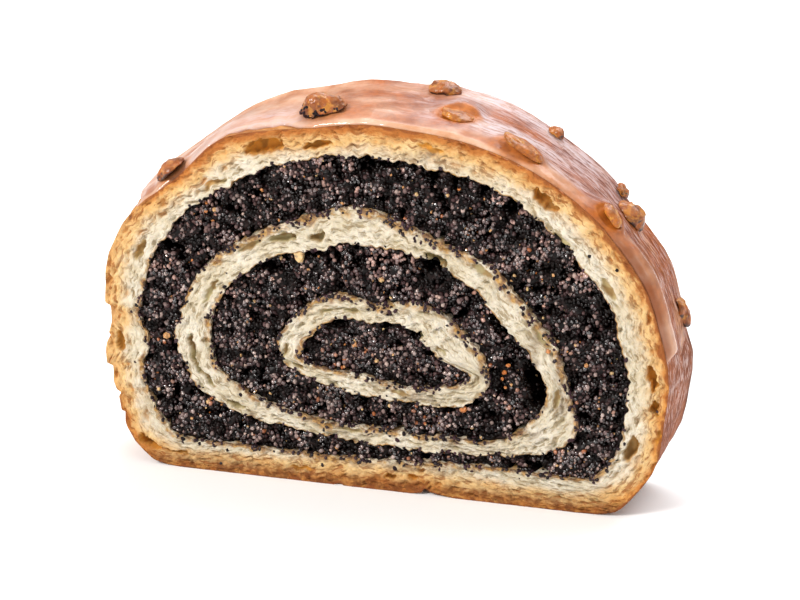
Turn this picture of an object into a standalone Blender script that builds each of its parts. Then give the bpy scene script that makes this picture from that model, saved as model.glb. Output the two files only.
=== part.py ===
"""A thick slice of poppy seed roll, standing on its base with one cut face to the front.

Three closed turns of yeast dough lie one inside the other with poppy seed filling between
them and at the heart. Icing covers the baked top, and walnut pieces sit on the icing.

Sizes are in millimetres and are turned into metres when a mesh is made. Outlines are drawn
on the front cut face: X to the right, Z up from the ground. Depth runs back along +Y.
"""
import math

import bmesh
import bpy
from mathutils import Matrix, Vector, noise

MM = 0.001

# The slice: its depth, and how the loaf grows from the front cut to the back one
DEPTH = 20.0
WIDEN = 0.030
RISE = 0.026
LEAN = -1.8
# Where the back cut is fuller or flatter than that: angle round the heart, half width in
# degrees and the change as a share of the way out from the heart
SWELLS = [(130, 15, -0.042), (97, 26, 0.026), (70, 24, 0.038), (29, 14, -0.021), (-14, 24, 0.026)]

# Touching pieces stay this far apart
GAP = 0.3

# The swirl's heart on the front cut face, and the rays that every outline is read along
HEART = Vector((1.8, 27.8))
SPOKES = 88

# Where one material meets the next on the front cut face, from the crust inwards,
# anticlockwise from the right
CRUST = [(56, 28), (53.5, 38), (50.5, 46), (45, 53.5), (38.5, 60), (29, 66), (17, 70.3),
         (5, 72), (-4, 72.4), (-14, 70.9), (-22, 70), (-31.5, 67.5), (-40, 59.5), (-47.6, 54),
         (-52.3, 48.6), (-55.5, 40.3), (-56.5, 32), (-55.2, 30), (-56.3, 23), (-54.2, 14), (-52.5, 7.5),
         (-49, 2), (-43, 0), (-20, 0), (0, 0), (20, 0), (43, 0), (49, 3.3), (53.5, 10.5),
         (55.5, 20)]
FIRST_FILLING = [(48.2, 25), (46.5, 34), (43.5, 42.5), (37, 50.5), (29, 58), (21, 62.5),
                 (10, 65), (0, 66), (-11.5, 65.6), (-21, 63), (-30, 58.5), (-38, 53),
                 (-44.5, 45.2), (-47.6, 37), (-48.5, 29.5), (-46.3, 25.8), (-48.5, 21),
                 (-46.5, 13.5), (-41.5, 7), (-30, 6.2), (-15, 6), (0, 6.2), (14, 7.2),
                 (27, 7.2), (36, 7), (41.5, 7.3), (46, 13)]
MIDDLE_DOUGH = [(37, 25), (34.5, 33), (28.5, 40), (22, 47.3), (13, 50.8), (5, 54.2),
                (-3, 56.4), (-13, 54.4), (-22, 51), (-31, 46), (-37.5, 39.5), (-41, 30),
                (-42, 26.5), (-40.2, 23), (-36.8, 17), (-28, 12.6), (-14, 10.3), (1, 9.1),
                (17, 9), (31, 10.8), (37.5, 13.5), (39, 18.5)]
SECOND_FILLING = [(32.5, 22.5), (29.5, 30), (24.5, 35.7), (18, 42.5), (9, 47.3), (-3, 49.2),
                  (-12, 47.5), (-20, 45.5), (-27.5, 41), (-32.3, 35), (-33.8, 28), (-31.5, 21),
                  (-24, 16.3), (-14, 13.8), (-3, 12.9), (9, 12.6), (21.5, 12.5), (28.5, 16)]
INNER_DOUGH = [(22, 25), (20, 30.8), (15.5, 34.9), (9, 38.8), (0, 38.3), (-8.5, 39.2),
               (-16, 35), (-20.4, 29), (-18.5, 23.8), (-10, 20.4), (2, 18.6), (15, 18.2),
               (20, 21.2)]
HEART_FILLING = [(18.1, 25.4), (12.5, 27.5), (9.2, 30.5), (6, 33.2), (-3, 34.1), (-10.5, 32.8),
                 (-15.2, 26.8), (-13, 24.5), (-4, 23.3), (5, 22), (14, 22.8)]

# The outer turn is divided at these shares of its depth, so that its crust can be uneven
CRUST_COURSES = (0.25, 0.65, 1.0)

# Relief of the cut faces: height of the lumps and the spacing between them
CRUMB_RELIEF = 0.35
CRUMB_GRAIN = 5.0
SEED_RELIEF = 0.9
SEED_GRAIN = 3.2
# Filling has sunk away from the dough that lies over it
SUNK = 1.1
SUNK_BAND = 3.0

# Bare crust is uneven by this much, in lumps of this spacing, below these two angles
CRUST_RELIEF = 0.7
CRUST_GRAIN = 9.0
BARE_RIGHT = 4.0
BARE_LEFT = 158.0
# What fades in along the loaf does it over this many degrees
FADE = 8.0

# Air pockets in the front cut face of the dough, and hollows in that of the filling:
# X, Z, half length, half height, tilt and how deep. They run out to nothing at SPILL times
# their half size.
SPILL = 1.6
DOUGH_POCKETS = [(-27, 66.2, 4.2, 1.9, 24, 1.6), (34.5, 57, 3.2, 1.6, -38, 1.8),
                 (-39, 27, 1.4, 7.5, 14, 2.0), (-24, 50, 3.2, 1.4, 18, 1.2),
                 (-14, 49.8, 2.4, 1.3, 5, 1.0), (-52.5, 29, 1.2, 2.4, 0, 1.0),
                 (51.5, 17.5, 1.6, 3.0, 15, 1.2)]
FILLING_HOLLOWS = [(29.5, 24, 2.6, 6.0, 8, 3.0), (25.5, 59.5, 2.4, 1.8, -30, 2.0),
                   (15, 62, 2.6, 1.6, -15, 1.6), (-7, 62.5, 2.4, 2.0, 0, 1.2),
                   (43.5, 36, 1.8, 1.8, 0, 1.6)]

# The icing: its two lower ends as angles round the heart, with lobes this many degrees deep
ICING = 0.9
ICING_RIGHT = 3.0
ICING_LEFT = 154.0
LOBE = 2.0
LOBE_LENGTH = 16.0
# The thick drip down the front edge on the right: its end and top as angles, width, height
DRIP_END = 4.5
DRIP_TOP = 34.0
DRIP_WIDTH = 4.2
DRIP = 1.0
# Its rolled lip along each cut edge
LIP = 0.7
LIP_WIDTH = 2.5
# The icing stands back from the cut faces and thins out towards its two lower ends
SETBACK = 0.3
FEATHER = 26.0
RIM = 0.45
ARC_STEPS = 46
DEPTH_STEPS = 8

# Walnut pieces under the icing: angle, depth, height of the bump and its half width. The
# icing over them runs out to nothing at BUMP_SPILL times that width.
BUMP_SPILL = 1.5
ICED_NUTS = [(74.7, 11.0, 1.5, 3.2), (58.8, 3.0, 1.6, 3.4), (35.4, 3.0, 1.7, 3.8)]

# Walnut pieces on the icing: angle, depth, then half length round the loaf, half width
# along its depth, height, and how finely the lump is divided
NUTS = [(106.5, 4.8, 4.7, 3.4, 3.0, 3), (144.0, 3.2, 3.1, 2.8, 2.2, 2),
        (80.6, 16.6, 3.6, 2.6, 2.0, 2), (31.0, 12.2, 3.2, 2.9, 2.4, 2),
        (8.6, 14.4, 3.2, 2.4, 1.7, 2), (53.7, 17.2, 1.7, 1.5, 1.5, 2),
        (35.4, 17.4, 1.6, 1.6, 1.6, 2)]
NUT_ROUGHNESS = 0.3
NUT_KNOB = 0.7
# A piece's middle is this share of its height above the icing
NUT_RAISED = 0.2

# Each material's colour and roughness
CRUMB = ((0.76, 0.62, 0.36, 1.0), 0.85)
CRUST_SKIN = ((0.62, 0.38, 0.13, 1.0), 0.55)
SEEDS = ((0.035, 0.03, 0.045, 1.0), 0.6)
SUGAR = ((0.80, 0.55, 0.40, 1.0), 0.2)
WALNUT = ((0.48, 0.24, 0.09, 1.0), 0.5)

# Points closer than this are one point, and edges sharper than this stay crisp
TOUCH = 0.01
SHARP = math.radians(50)


def smooth(value):
    """0 below 0, 1 above 1 and an even slope between."""
    value = min(max(value, 0.0), 1.0)
    return value * value * (3 - 2 * value)


def ray(angle):
    return Vector((math.cos(angle), math.sin(angle)))


def closed_curve(points, steps=10):
    """A smooth closed line through the points, never below the ground."""
    line = []
    count = len(points)
    for i in range(count):
        a, b, c, d = (Vector(points[(i + k) % count]) for k in (-1, 0, 1, 2))
        for step in range(steps):
            t = step / steps
            spot = 0.5 * (2 * b + (c - a) * t + (2 * a - 5 * b + 4 * c - d) * t ** 2
                          + (3 * b - a - 3 * c + d) * t ** 3)
            line.append(Vector((spot.x, max(spot.y, 0.0))))
    return line


def reach(line, angle):
    """How far the line lies from the heart along a ray."""
    along = ray(angle)
    across = Vector((-along.y, along.x))
    best = 0.0
    for i, end in enumerate(line):
        start = line[i - 1] - HEART
        stop = end - HEART
        low, high = start.dot(across), stop.dot(across)
        if low <= 0.0 < high:
            cut = low / (low - high)
            best = max(best, start.lerp(stop, cut).dot(along))
    return best


def edge_point(line, angle, shift):
    """A point of the line on a ray, moved along the line's outward normal."""
    step = 0.01
    before = HEART + ray(angle - step) * reach(line, angle - step)
    after = HEART + ray(angle + step) * reach(line, angle + step)
    side = (after - before).normalized()
    spot = HEART + ray(angle) * reach(line, angle)
    return spot + Vector((side.y, -side.x)) * shift


def spoke_angles(line):
    """Rays that cut the line into equal lengths."""
    lengths = [(line[i] - line[i - 1]).length for i in range(len(line))]
    pace = sum(lengths) / SPOKES
    angles = []
    walked = 0.0
    for i, length in enumerate(lengths):
        while len(angles) < SPOKES and walked + length >= len(angles) * pace:
            part = (len(angles) * pace - walked) / length
            spot = line[i - 1].lerp(line[i], part) - HEART
            angles.append(math.atan2(spot.y, spot.x))
        walked += length
    return angles


def outline(line, shift):
    """The line's points on every spoke; the ground stays flat under the slice."""
    spots = [edge_point(line, angle, shift) for angle in ANGLES]
    return [Vector((spot.x, max(spot.y, 0.0))) for spot in spots]


def swell(spot):
    """How much fuller the back cut is on the ray through a point of the front cut."""
    angle = math.degrees(math.atan2(spot.y - HEART.y, spot.x - HEART.x))
    return sum(change * smooth(1 - abs(angle - middle) / width) for middle, width, change in SWELLS)


def grow(spot, depth):
    """A front face point carried back to a depth, as the loaf widens and rises."""
    share = depth / DEPTH
    fuller = 1 + swell(spot) * share
    x = HEART.x + (spot.x - HEART.x) * fuller
    z = HEART.y + (spot.y - HEART.y) * fuller if spot.y > HEART.y else spot.y
    return Vector((x * (1 + WIDEN * share) + LEAN * share, depth, z * (1 + RISE * share)))


def shrink(spot):
    """The front face point that grows to a spot above the heart: the reverse of grow."""
    share = spot.y / DEPTH
    flat = Vector(((spot.x - LEAN * share) / (1 + WIDEN * share), spot.z / (1 + RISE * share)))
    return HEART + (flat - HEART) / (1 + swell(flat) * share)


def lumps(x, y, z, grain, seed):
    return noise.noise(Vector((x / grain, y / grain, z / grain + 7.3 * seed)))


def hollow(x, z, hollows):
    """How deep the hollows are at a place on the front cut face."""
    depth = 0.0
    for px, pz, length, height, tilt, deep in hollows:
        turn = math.radians(tilt)
        dx, dz = x - px, z - pz
        along = (dx * math.cos(turn) + dz * math.sin(turn)) / length
        up = (dz * math.cos(turn) - dx * math.sin(turn)) / height
        depth = max(depth, deep * smooth(SPILL - math.hypot(along, up)))
    return depth


def dough_face(x, z, from_edge, front):
    height = CRUMB_RELIEF * lumps(x, 0, z, CRUMB_GRAIN, front)
    return height - (hollow(x, z, DOUGH_POCKETS) if front else 0.0)


def filling_face(x, z, from_edge, front):
    under_dough = max(0.0, (z - HEART.y) / (z + HEART.y))
    height = SEED_RELIEF * lumps(x, 0, z, SEED_GRAIN, front + 3)
    height -= SUNK * under_dough * smooth(1 - from_edge / SUNK_BAND)
    return height - (hollow(x, z, FILLING_HOLLOWS) if front else 0.0)


def thicken(bm, slabs):
    """Carry the flat sheet back through the slice in slabs, which closes it."""
    sheet = list(bm.faces)
    for slab in slabs:
        edges = list({edge for face in sheet for edge in face.edges})
        pulled = bmesh.ops.extrude_face_region(bm, geom=sheet + edges)
        sheet = [item for item in pulled["geom"] if isinstance(item, bmesh.types.BMFace)]
        for vert in {vert for face in sheet for vert in face.verts}:
            vert.co.y = slab


def shape(bm, face, edge):
    """Give both cut faces their relief, then let the body grow towards the back."""
    for vert in bm.verts:
        x, depth, z = vert.co
        from_edge = min((Vector((x, z)) - spot).length for spot in edge)
        if depth == 0.0:
            depth -= face(x, z, from_edge, 1)
        elif depth == DEPTH:
            depth += face(x, z, from_edge, 0)
        vert.co = grow(Vector((x, z)), depth)


def ring_sheet(outer, inner, courses):
    """A flat band between two outlines, in courses of faces."""
    bm = bmesh.new()
    bmesh.ops.create_grid(bm, x_segments=SPOKES, y_segments=courses, size=1)
    for vert in bm.verts:
        spoke = round((vert.co.x + 1) / 2 * SPOKES) % SPOKES
        share = (vert.co.y + 1) / 2
        spot = outer[spoke].lerp(inner[spoke], share)
        vert.co = (spot.x, 0.0, spot.y)
    bmesh.ops.remove_doubles(bm, verts=bm.verts, dist=TOUCH / 10)
    return bm


def disc_sheet(rim):
    """A flat sheet of squares that fills one outline out from the heart."""
    side = SPOKES // 4
    bm = bmesh.new()
    bmesh.ops.create_grid(bm, x_segments=side, y_segments=side, size=1)
    for vert in bm.verts:
        x, y = vert.co.x, vert.co.y
        share = max(abs(x), abs(y))
        if share < 0.5 / side:
            vert.co = (HEART.x, 0.0, HEART.y)
            continue
        if abs(x) >= abs(y):
            turn = y / x if x > 0 else 4 + y / x
        else:
            turn = 2 - x / y if y > 0 else 6 - x / y
        place = (turn % 8) / 8 * SPOKES
        low = int(place) % SPOKES
        spot = rim[low].lerp(rim[(low + 1) % SPOKES], place - int(place))
        spot = HEART.lerp(spot, share)
        vert.co = (spot.x, 0.0, spot.y)
    return bm


def icing_ends(depth):
    """The icing's lower ends at a depth, in radians: lobed, with the drip at the front."""
    drip = smooth(BUMP_SPILL - depth / DRIP_WIDTH)
    lobes = LOBE * math.sin(2 * math.pi * depth / LOBE_LENGTH)
    right = (ICING_RIGHT + lobes) * (1 - drip) + DRIP_END * drip
    return math.radians(right), math.radians(ICING_LEFT - lobes)


def icing_thickness(angle, depth):
    """Thin at the lower ends, with a lip at each cut, the drip and bumps over buried nuts."""
    right, left = icing_ends(depth)
    from_end = math.degrees(min(angle - right, left - angle))
    edge = min(depth, DEPTH - depth)
    lip = LIP * smooth(1 - edge / LIP_WIDTH) * smooth(from_end / FEATHER)
    across = (2 * depth / DRIP_WIDTH - 1) ** 2
    drip = DRIP * math.sqrt(max(0.0, 1 - across)) * smooth((DRIP_TOP - math.degrees(angle)) / FADE)
    bump = 0.0
    for nut_angle, nut_depth, height, width in ICED_NUTS:
        round_loaf = (angle - math.radians(nut_angle)) * reach(CRUST_LINE, angle)
        away = math.hypot(round_loaf, depth - nut_depth) / width
        bump = max(bump, height * smooth(BUMP_SPILL - away))
    return RIM + (ICING - RIM) * smooth(from_end / FEATHER) + max(lip, drip, bump)


def icing_top(angle, depth, lift):
    """A point over the icing's outer surface, as grown to its depth."""
    return grow(edge_point(CRUST_LINE, angle, GAP + icing_thickness(angle, depth) + lift), depth)


def icing_mesh():
    """A sheet laid over the crust, then pulled outwards to its thickness."""
    bm = bmesh.new()
    bmesh.ops.create_grid(bm, x_segments=ARC_STEPS, y_segments=DEPTH_STEPS, size=1)
    places = {}
    for vert in bm.verts:
        depth = SETBACK + (vert.co.y + 1) / 2 * (DEPTH - 2 * SETBACK)
        right, left = icing_ends(depth)
        angle = left + (right - left) * (vert.co.x + 1) / 2
        vert.co = grow(edge_point(CRUST_LINE, angle, GAP), depth)
        places[vert.co.copy().freeze()] = (angle, depth)
    pulled = bmesh.ops.extrude_face_region(bm, geom=list(bm.faces))
    for vert in (item for item in pulled["geom"] if isinstance(item, bmesh.types.BMVert)):
        angle, depth = places[vert.co.copy().freeze()]
        vert.co = icing_top(angle, depth, 0.0)
    return bm


def nut_mesh(seed, angle, depth, length, width, height, cuts):
    """A knobbly broken kernel whose underside follows the icing that it sits on."""
    angle = math.radians(angle)
    bm = bmesh.new()
    bmesh.ops.create_icosphere(bm, subdivisions=cuts, radius=1)
    base = icing_top(angle, depth, NUT_RAISED * height)
    out = (icing_top(angle, depth, 1.0) - icing_top(angle, depth, 0.0)).normalized()
    back = Vector((0, 1, 0))
    round_loaf = back.cross(out)
    for vert in bm.verts:
        knob = 1 + NUT_ROUGHNESS * lumps(*vert.co, NUT_KNOB, seed)
        x, y, z = vert.co * knob
        spot = base + round_loaf * x * length + back * y * width + out * z * height
        flat = shrink(spot)
        around = math.atan2(flat.y - HEART.y, flat.x - HEART.x)
        seat = edge_point(CRUST_LINE, around, GAP + icing_thickness(around, spot.y) + GAP)
        low = (seat - HEART).length
        if (flat - HEART).length < low:
            flat = HEART + ray(around) * low
        vert.co = grow(flat, spot.y)
    return bm


def dough_body(courses):
    """The outer turn with the crust round it, uneven where no icing covers it."""
    rim = outline(CRUST_LINE, 0.0)
    bm = ring_sheet(rim, outline(FIRST_LINE, GAP / 2), courses)
    thicken(bm, [share * DEPTH for share in CRUST_COURSES])
    for vert in bm.verts:
        spot = Vector((vert.co.x, vert.co.z))
        if spot.y == 0.0 or min((spot - other).length for other in rim) > TOUCH:
            continue
        angle = math.degrees(math.atan2(spot.y - HEART.y, spot.x - HEART.x))
        if angle < -90:
            angle += 360
        bare = max(smooth((BARE_RIGHT - angle) / FADE), smooth((angle - BARE_LEFT) / FADE))
        uneven = CRUST_RELIEF * bare * lumps(spot.x, vert.co.y, spot.y, CRUST_GRAIN, 5)
        spot += (spot - HEART).normalized() * uneven
        vert.co.x, vert.co.z = spot.x, max(spot.y, 0.0)
    return bm


def finish(name, colour, roughness):
    """One plain material: colour and roughness."""
    material = bpy.data.materials.new(name)
    material.use_nodes = True
    shader = material.node_tree.nodes["Principled BSDF"]
    shader.inputs["Base Color"].default_value = colour
    shader.inputs["Roughness"].default_value = roughness
    shader.inputs["Metallic"].default_value = 0.0
    return material


def add_piece(name, bm, material):
    """Turn a finished shape into an object of the slice, in metres."""
    bm.normal_update()
    bmesh.ops.recalc_face_normals(bm, faces=bm.faces)
    bmesh.ops.triangulate(bm, faces=bm.faces)
    bmesh.ops.transform(bm, matrix=Matrix.Scale(MM, 4), verts=bm.verts)
    mesh = bpy.data.meshes.new(name)
    bm.to_mesh(mesh)
    bm.free()
    mesh.materials.append(material)
    mesh.shade_smooth()
    mesh.set_sharp_from_angle(angle=SHARP)
    piece = bpy.data.objects.new(name, mesh)
    ROLL.objects.link(piece)


def add_layer(name, bm, edge, face, material):
    shape(bm, face, edge)
    add_piece(name, bm, material)


def centre_on_ground():
    """Bring the middle of the slice's own box over the origin."""
    corners = [piece.matrix_world @ vert.co for piece in ROLL.objects for vert in piece.data.vertices]
    middle_x = (min(c.x for c in corners) + max(c.x for c in corners)) / 2
    middle_y = (min(c.y for c in corners) + max(c.y for c in corners)) / 2
    for piece in ROLL.objects:
        piece.data.transform(Matrix.Translation((-middle_x, -middle_y, 0.0)))


for old in list(bpy.data.objects):
    bpy.data.objects.remove(old)
ROLL = bpy.data.collections.new("poppy_seed_roll")
bpy.context.scene.collection.children.link(ROLL)

CRUST_LINE = closed_curve(CRUST)
FIRST_LINE = closed_curve(FIRST_FILLING)
ANGLES = spoke_angles(FIRST_LINE)
MIDDLE_LINE = closed_curve(MIDDLE_DOUGH)
SECOND_LINE = closed_curve(SECOND_FILLING)
INNER_LINE = closed_curve(INNER_DOUGH)
HEART_LINE = closed_curve(HEART_FILLING)

crumb = finish("dough crumb", *CRUMB)
crust = finish("baked crust", *CRUST_SKIN)
seeds = finish("poppy seed filling", *SEEDS)
glaze = finish("sugar icing", *SUGAR)
walnut = finish("walnut", *WALNUT)

# Each turn from the crust to the heart, with the courses of faces across its cut faces
add_layer("dough_outer", dough_body(4), outline(FIRST_LINE, 0.0), dough_face, crust)
for name, outer, inner, courses, face, material in (
        ("filling_outer", FIRST_LINE, MIDDLE_LINE, 5, filling_face, seeds),
        ("dough_middle", MIDDLE_LINE, SECOND_LINE, 3, dough_face, crumb),
        ("filling_middle", SECOND_LINE, INNER_LINE, 4, filling_face, seeds),
        ("dough_inner", INNER_LINE, HEART_LINE, 3, dough_face, crumb)):
    band = ring_sheet(outline(outer, -GAP / 2), outline(inner, GAP / 2), courses)
    thicken(band, [DEPTH])
    add_layer(name, band, outline(outer, 0.0), face, material)
core = disc_sheet(outline(HEART_LINE, -GAP / 2))
thicken(core, [DEPTH])
add_layer("filling_core", core, outline(HEART_LINE, 0.0), filling_face, seeds)

add_piece("icing", icing_mesh(), glaze)
for number, nut in enumerate(NUTS, start=1):
    add_piece(f"walnut_{number}", nut_mesh(number, *nut), walnut)
centre_on_ground()
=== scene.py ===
"""Looks of a thick slice of iced poppy seed roll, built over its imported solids.

Everything is in metres, +Z up, with the photographed cut face towards -Y.
"""
import math

import bmesh
import bpy
import numpy as np
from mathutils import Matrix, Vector, noise
from mathutils.bvhtree import BVHTree


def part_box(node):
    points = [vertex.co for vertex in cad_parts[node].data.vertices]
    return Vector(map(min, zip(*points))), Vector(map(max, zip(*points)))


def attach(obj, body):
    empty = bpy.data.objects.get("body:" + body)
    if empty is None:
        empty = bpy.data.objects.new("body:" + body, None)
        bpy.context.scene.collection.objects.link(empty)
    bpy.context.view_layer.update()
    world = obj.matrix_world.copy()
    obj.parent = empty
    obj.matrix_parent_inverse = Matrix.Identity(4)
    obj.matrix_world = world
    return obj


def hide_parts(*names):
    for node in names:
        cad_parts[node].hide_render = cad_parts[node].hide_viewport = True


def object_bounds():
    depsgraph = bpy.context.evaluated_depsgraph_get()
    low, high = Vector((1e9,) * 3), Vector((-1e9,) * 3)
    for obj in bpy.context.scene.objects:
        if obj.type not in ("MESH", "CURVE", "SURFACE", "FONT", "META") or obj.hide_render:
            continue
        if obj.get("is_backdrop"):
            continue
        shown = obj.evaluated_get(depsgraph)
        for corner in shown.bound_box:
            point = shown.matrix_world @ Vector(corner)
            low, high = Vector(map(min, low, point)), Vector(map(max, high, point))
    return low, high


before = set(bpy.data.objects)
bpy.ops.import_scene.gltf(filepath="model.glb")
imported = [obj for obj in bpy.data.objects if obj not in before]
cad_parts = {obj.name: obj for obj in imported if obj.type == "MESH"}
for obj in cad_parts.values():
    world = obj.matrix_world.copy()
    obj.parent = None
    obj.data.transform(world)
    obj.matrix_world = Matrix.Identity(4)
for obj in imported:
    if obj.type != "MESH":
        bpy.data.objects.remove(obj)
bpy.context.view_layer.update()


# The view. The photograph is a product shot from a little to the right of the cut face
# and a little above it, with a long lens, on a bright surface that falls away to white.
MM = 0.001
PHOTO_WIDTH, PHOTO_HEIGHT = 800, 600
LENS = 100.0
SENSOR = 36.0
TURN = math.radians(16.5)
TILT = math.radians(18.0)
DISTANCE = 418 * MM
CUT_FRONT = -10.0 * MM
AIM = Vector((5.75, -10.0, 39.1)) * MM
WORLD_LIGHT = 0.60
FLOOR_REACH = 3
LIGHTS = {
    "window": ((-0.55, -0.75, 0.75), (0.34, 0.30), 11.8, (1.0, 0.98, 0.95)),
    "overhead": ((0.15, 0.45, 0.75), (0.9, 0.5), 7.6, (0.97, 0.98, 1.0)),
    "fill": ((0.8, -0.55, 0.35), (0.4, 0.5), 1.5, (1.0, 0.98, 0.96)),
}


def linked(name, data):
    """A new object standing in the scene."""
    thing = bpy.data.objects.new(name, data)
    bpy.context.collection.objects.link(thing)
    return thing


def new_material(name, **constants):
    """A material with a plain Principled shader, its constants set on the shader's own sockets."""
    material = bpy.data.materials.new(name)
    material.use_nodes = True
    shader = material.node_tree.nodes["Principled BSDF"]
    for key, value in constants.items():
        shader.inputs[key.replace("_", " ")].default_value = value
    return material, shader


def seen_along(pixel):
    """Direction from the camera through a pixel of the photograph."""
    focal = LENS / SENSOR * PHOTO_WIDTH
    across = (pixel[0] - PHOTO_WIDTH / 2) / focal
    down = (pixel[1] - PHOTO_HEIGHT / 2) / focal
    right = Vector((math.cos(TURN), math.sin(TURN), 0.0))
    up = toward_camera.cross(right)
    return (right * across - up * down - toward_camera).normalized()


def on_cut_face(pixel):
    """X and Z on the front cut face under a pixel of the photograph."""
    sight = seen_along(pixel)
    spot = camera_place + sight * ((CUT_FRONT - camera_place.y) / sight.y)
    return spot.x, spot.z


toward_camera = Vector((math.sin(TURN) * math.cos(TILT), -math.cos(TURN) * math.cos(TILT), math.sin(TILT)))
camera_place = AIM + toward_camera * DISTANCE
camera_data = bpy.data.cameras.new("camera")
camera_data.lens = LENS
camera_data.sensor_width = SENSOR
camera_data.clip_start = 0.01
camera = linked("camera", camera_data)
camera.location = camera_place
camera.rotation_euler = toward_camera.to_track_quat("Z", "Y").to_euler()
bpy.context.scene.camera = camera
bpy.context.scene.view_settings.view_transform = "Standard"

for name, (place, size, power, colour) in LIGHTS.items():
    light = bpy.data.lights.new(name, "AREA")
    light.shape = "RECTANGLE"
    light.size, light.size_y = size
    light.energy = power
    light.color = colour
    lamp = linked(name, light)
    lamp.location = place
    lamp.rotation_euler = (Vector(place) - AIM).to_track_quat("Z", "Y").to_euler()
world = bpy.data.worlds.new("white studio")
world.use_nodes = True
backdrop = world.node_tree.nodes["Background"]
backdrop.inputs["Color"].default_value = (1.0, 1.0, 1.0, 1.0)
backdrop.inputs["Strength"].default_value = WORLD_LIGHT
bpy.context.scene.world = world

floor_mesh = bpy.data.meshes.new("floor")
corners = [(x * FLOOR_REACH, y * FLOOR_REACH, 0) for x, y in ((-1, -1), (1, -1), (1, 1), (-1, 1))]
floor_mesh.from_pydata(corners, [], [(0, 1, 2, 3)])
floor = linked("floor", floor_mesh)
floor_mesh.materials.append(new_material("white paper", Base_Color=(0.96, 0.96, 0.96, 1), Roughness=0.9)[0])
floor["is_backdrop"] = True


# The turns of dough and filling. Each is cut right through the slice, so its rims are read
# off its solid on rays from the heart at two depths, and run straight between them.
SAMPLES = 1440
READ_FRONT, READ_BACK = -5.0 * MM, 8.0 * MM
CUT_BACK = 10.0 * MM
FAR = 0.2
RIM_ROUNDING = 5
FULL_TURN = 2 * math.pi
core_low, core_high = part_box("filling_core")
heart = np.array([(core_low[0] + core_high[0]) / 2, (core_low[2] + core_high[2]) / 2])
sample_angles = np.arange(SAMPLES) / SAMPLES * FULL_TURN


def points(*coordinates):
    """Grids of coordinates put together into one grid of points."""
    return np.stack(np.broadcast_arrays(*coordinates), axis=-1)


def solid_tree(node):
    """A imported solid's surface, ready to be met by rays."""
    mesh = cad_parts[node].data
    return BVHTree.FromPolygons([v.co for v in mesh.vertices], [p.vertices for p in mesh.polygons])


def reach_at(tree, depth, outside=True):
    """How far a wall lies from the heart on every sample ray, or 0 where a ray misses it."""
    centre = Vector((heart[0], depth, heart[1]))
    reach = np.zeros(SAMPLES)
    for i, angle in enumerate(sample_angles):
        out = Vector((math.cos(angle), 0.0, math.sin(angle)))
        start, way = (centre + out * FAR, -out) if outside else (centre, out)
        hit = tree.ray_cast(start, way, FAR)[0]
        if hit:
            reach[i] = (hit - centre).length
    return reach


def smoothed(values, half):
    """Values on the sample rays, each averaged softly with its neighbours on both sides."""
    window = np.hanning(2 * half + 1)
    padded = np.concatenate([values[-half:], values, values[:half]])
    return np.convolve(padded, window / window.sum(), mode="valid")


def rim_reader(node, outside):
    """A function giving X and Z of a rim for angles and depths that fit each other."""
    tree = solid_tree(node)
    front, back = (smoothed(reach_at(tree, depth, outside), RIM_ROUNDING)
                   for depth in (READ_FRONT, READ_BACK))

    def place(angles, depth):
        near, far = (np.interp(angles, sample_angles, read, period=FULL_TURN) for read in (front, back))
        reach = near + (far - near) * (depth - READ_FRONT) / (READ_BACK - READ_FRONT)
        return heart[0] + reach * np.cos(angles), heart[1] + reach * np.sin(angles)

    return place


def even_angles(rim, side):
    """Angles that cut a rim into equal lengths of about one side, and the rim's whole length."""
    x, z = rim(sample_angles, CUT_FRONT)
    steps = np.hypot(np.diff(x, append=x[0]), np.diff(z, append=z[0]))
    walked = np.concatenate([[0], np.cumsum(steps)])
    girth = steps.sum()
    count = int(girth / side)
    angles = np.concatenate([sample_angles, [FULL_TURN]])
    return np.interp(np.arange(count) / count * walked[-1], walked, angles), girth


def lumps(spots, size, seed):
    """Soft noise from -1 to 1 over a grid of points in metres, with lumps of one size."""
    shifted = spots.reshape(-1, 3) / size + seed * 17.31
    return np.array([noise.noise(Vector(p)) for p in shifted]).reshape(spots.shape[:-1])


def ease(value):
    """From 0 to 1 softly, held at both ends."""
    value = np.clip(value, 0.0, 1.0)
    return value * value * (3 - 2 * value)


def from_pixel(x, z, pixel, wide, tall):
    """How far places on the cut lie from a pixel's spot, in half widths and half heights of an oval."""
    spot_x, spot_z = on_cut_face(pixel)
    return np.hypot((x - spot_x) / (wide * MM), (z - spot_z) / (tall * MM))


def smooth_piece(name, vertices, faces):
    mesh = bpy.data.meshes.new(name)
    mesh.from_pydata(vertices, [], faces)
    mesh.shade_smooth()
    return linked(name, mesh)


def band_mesh(name, rows, around=True):
    """A closed skin over rows of points: each row runs along the band, rows go round it."""
    count, length = rows.shape[:2]
    index = np.arange(count * length).reshape(count, length)
    below = np.roll(index, -1, axis=0)
    ahead, ahead_below = np.roll(index, -1, axis=1), np.roll(below, -1, axis=1)
    faces = np.stack([index, below, ahead_below, ahead], axis=-1)
    if not around:
        faces = faces[:, :-1]
    return smooth_piece(name, rows.reshape(-1, 3), faces.reshape(-1, 4).tolist())


def mark(piece, name, values, kind="FLOAT", part="value"):
    """Store a number or a vector for each point, which the material reads."""
    attribute = piece.data.attributes.new(name, kind, "POINT")
    attribute.data.foreach_set(part, np.asarray(values, dtype=np.float32).ravel())


# The dough. Yeast dough baked in three turns: a fine stretched crumb with air pockets that
# lie along the turn, pale inside, golden under the crust and stained where filling touches.
CRUMB_SIDE = 0.30 * MM
DRAWN_OUT = 3.6
POCKET_SIZES = (0.25, 1.5)
POCKETS_PER_MM2 = 1.2
CRUST_BAND = 2.6 * MM
INNER_WALL_SHARES = np.linspace(1, 0, 4)[1:-1]
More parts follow.
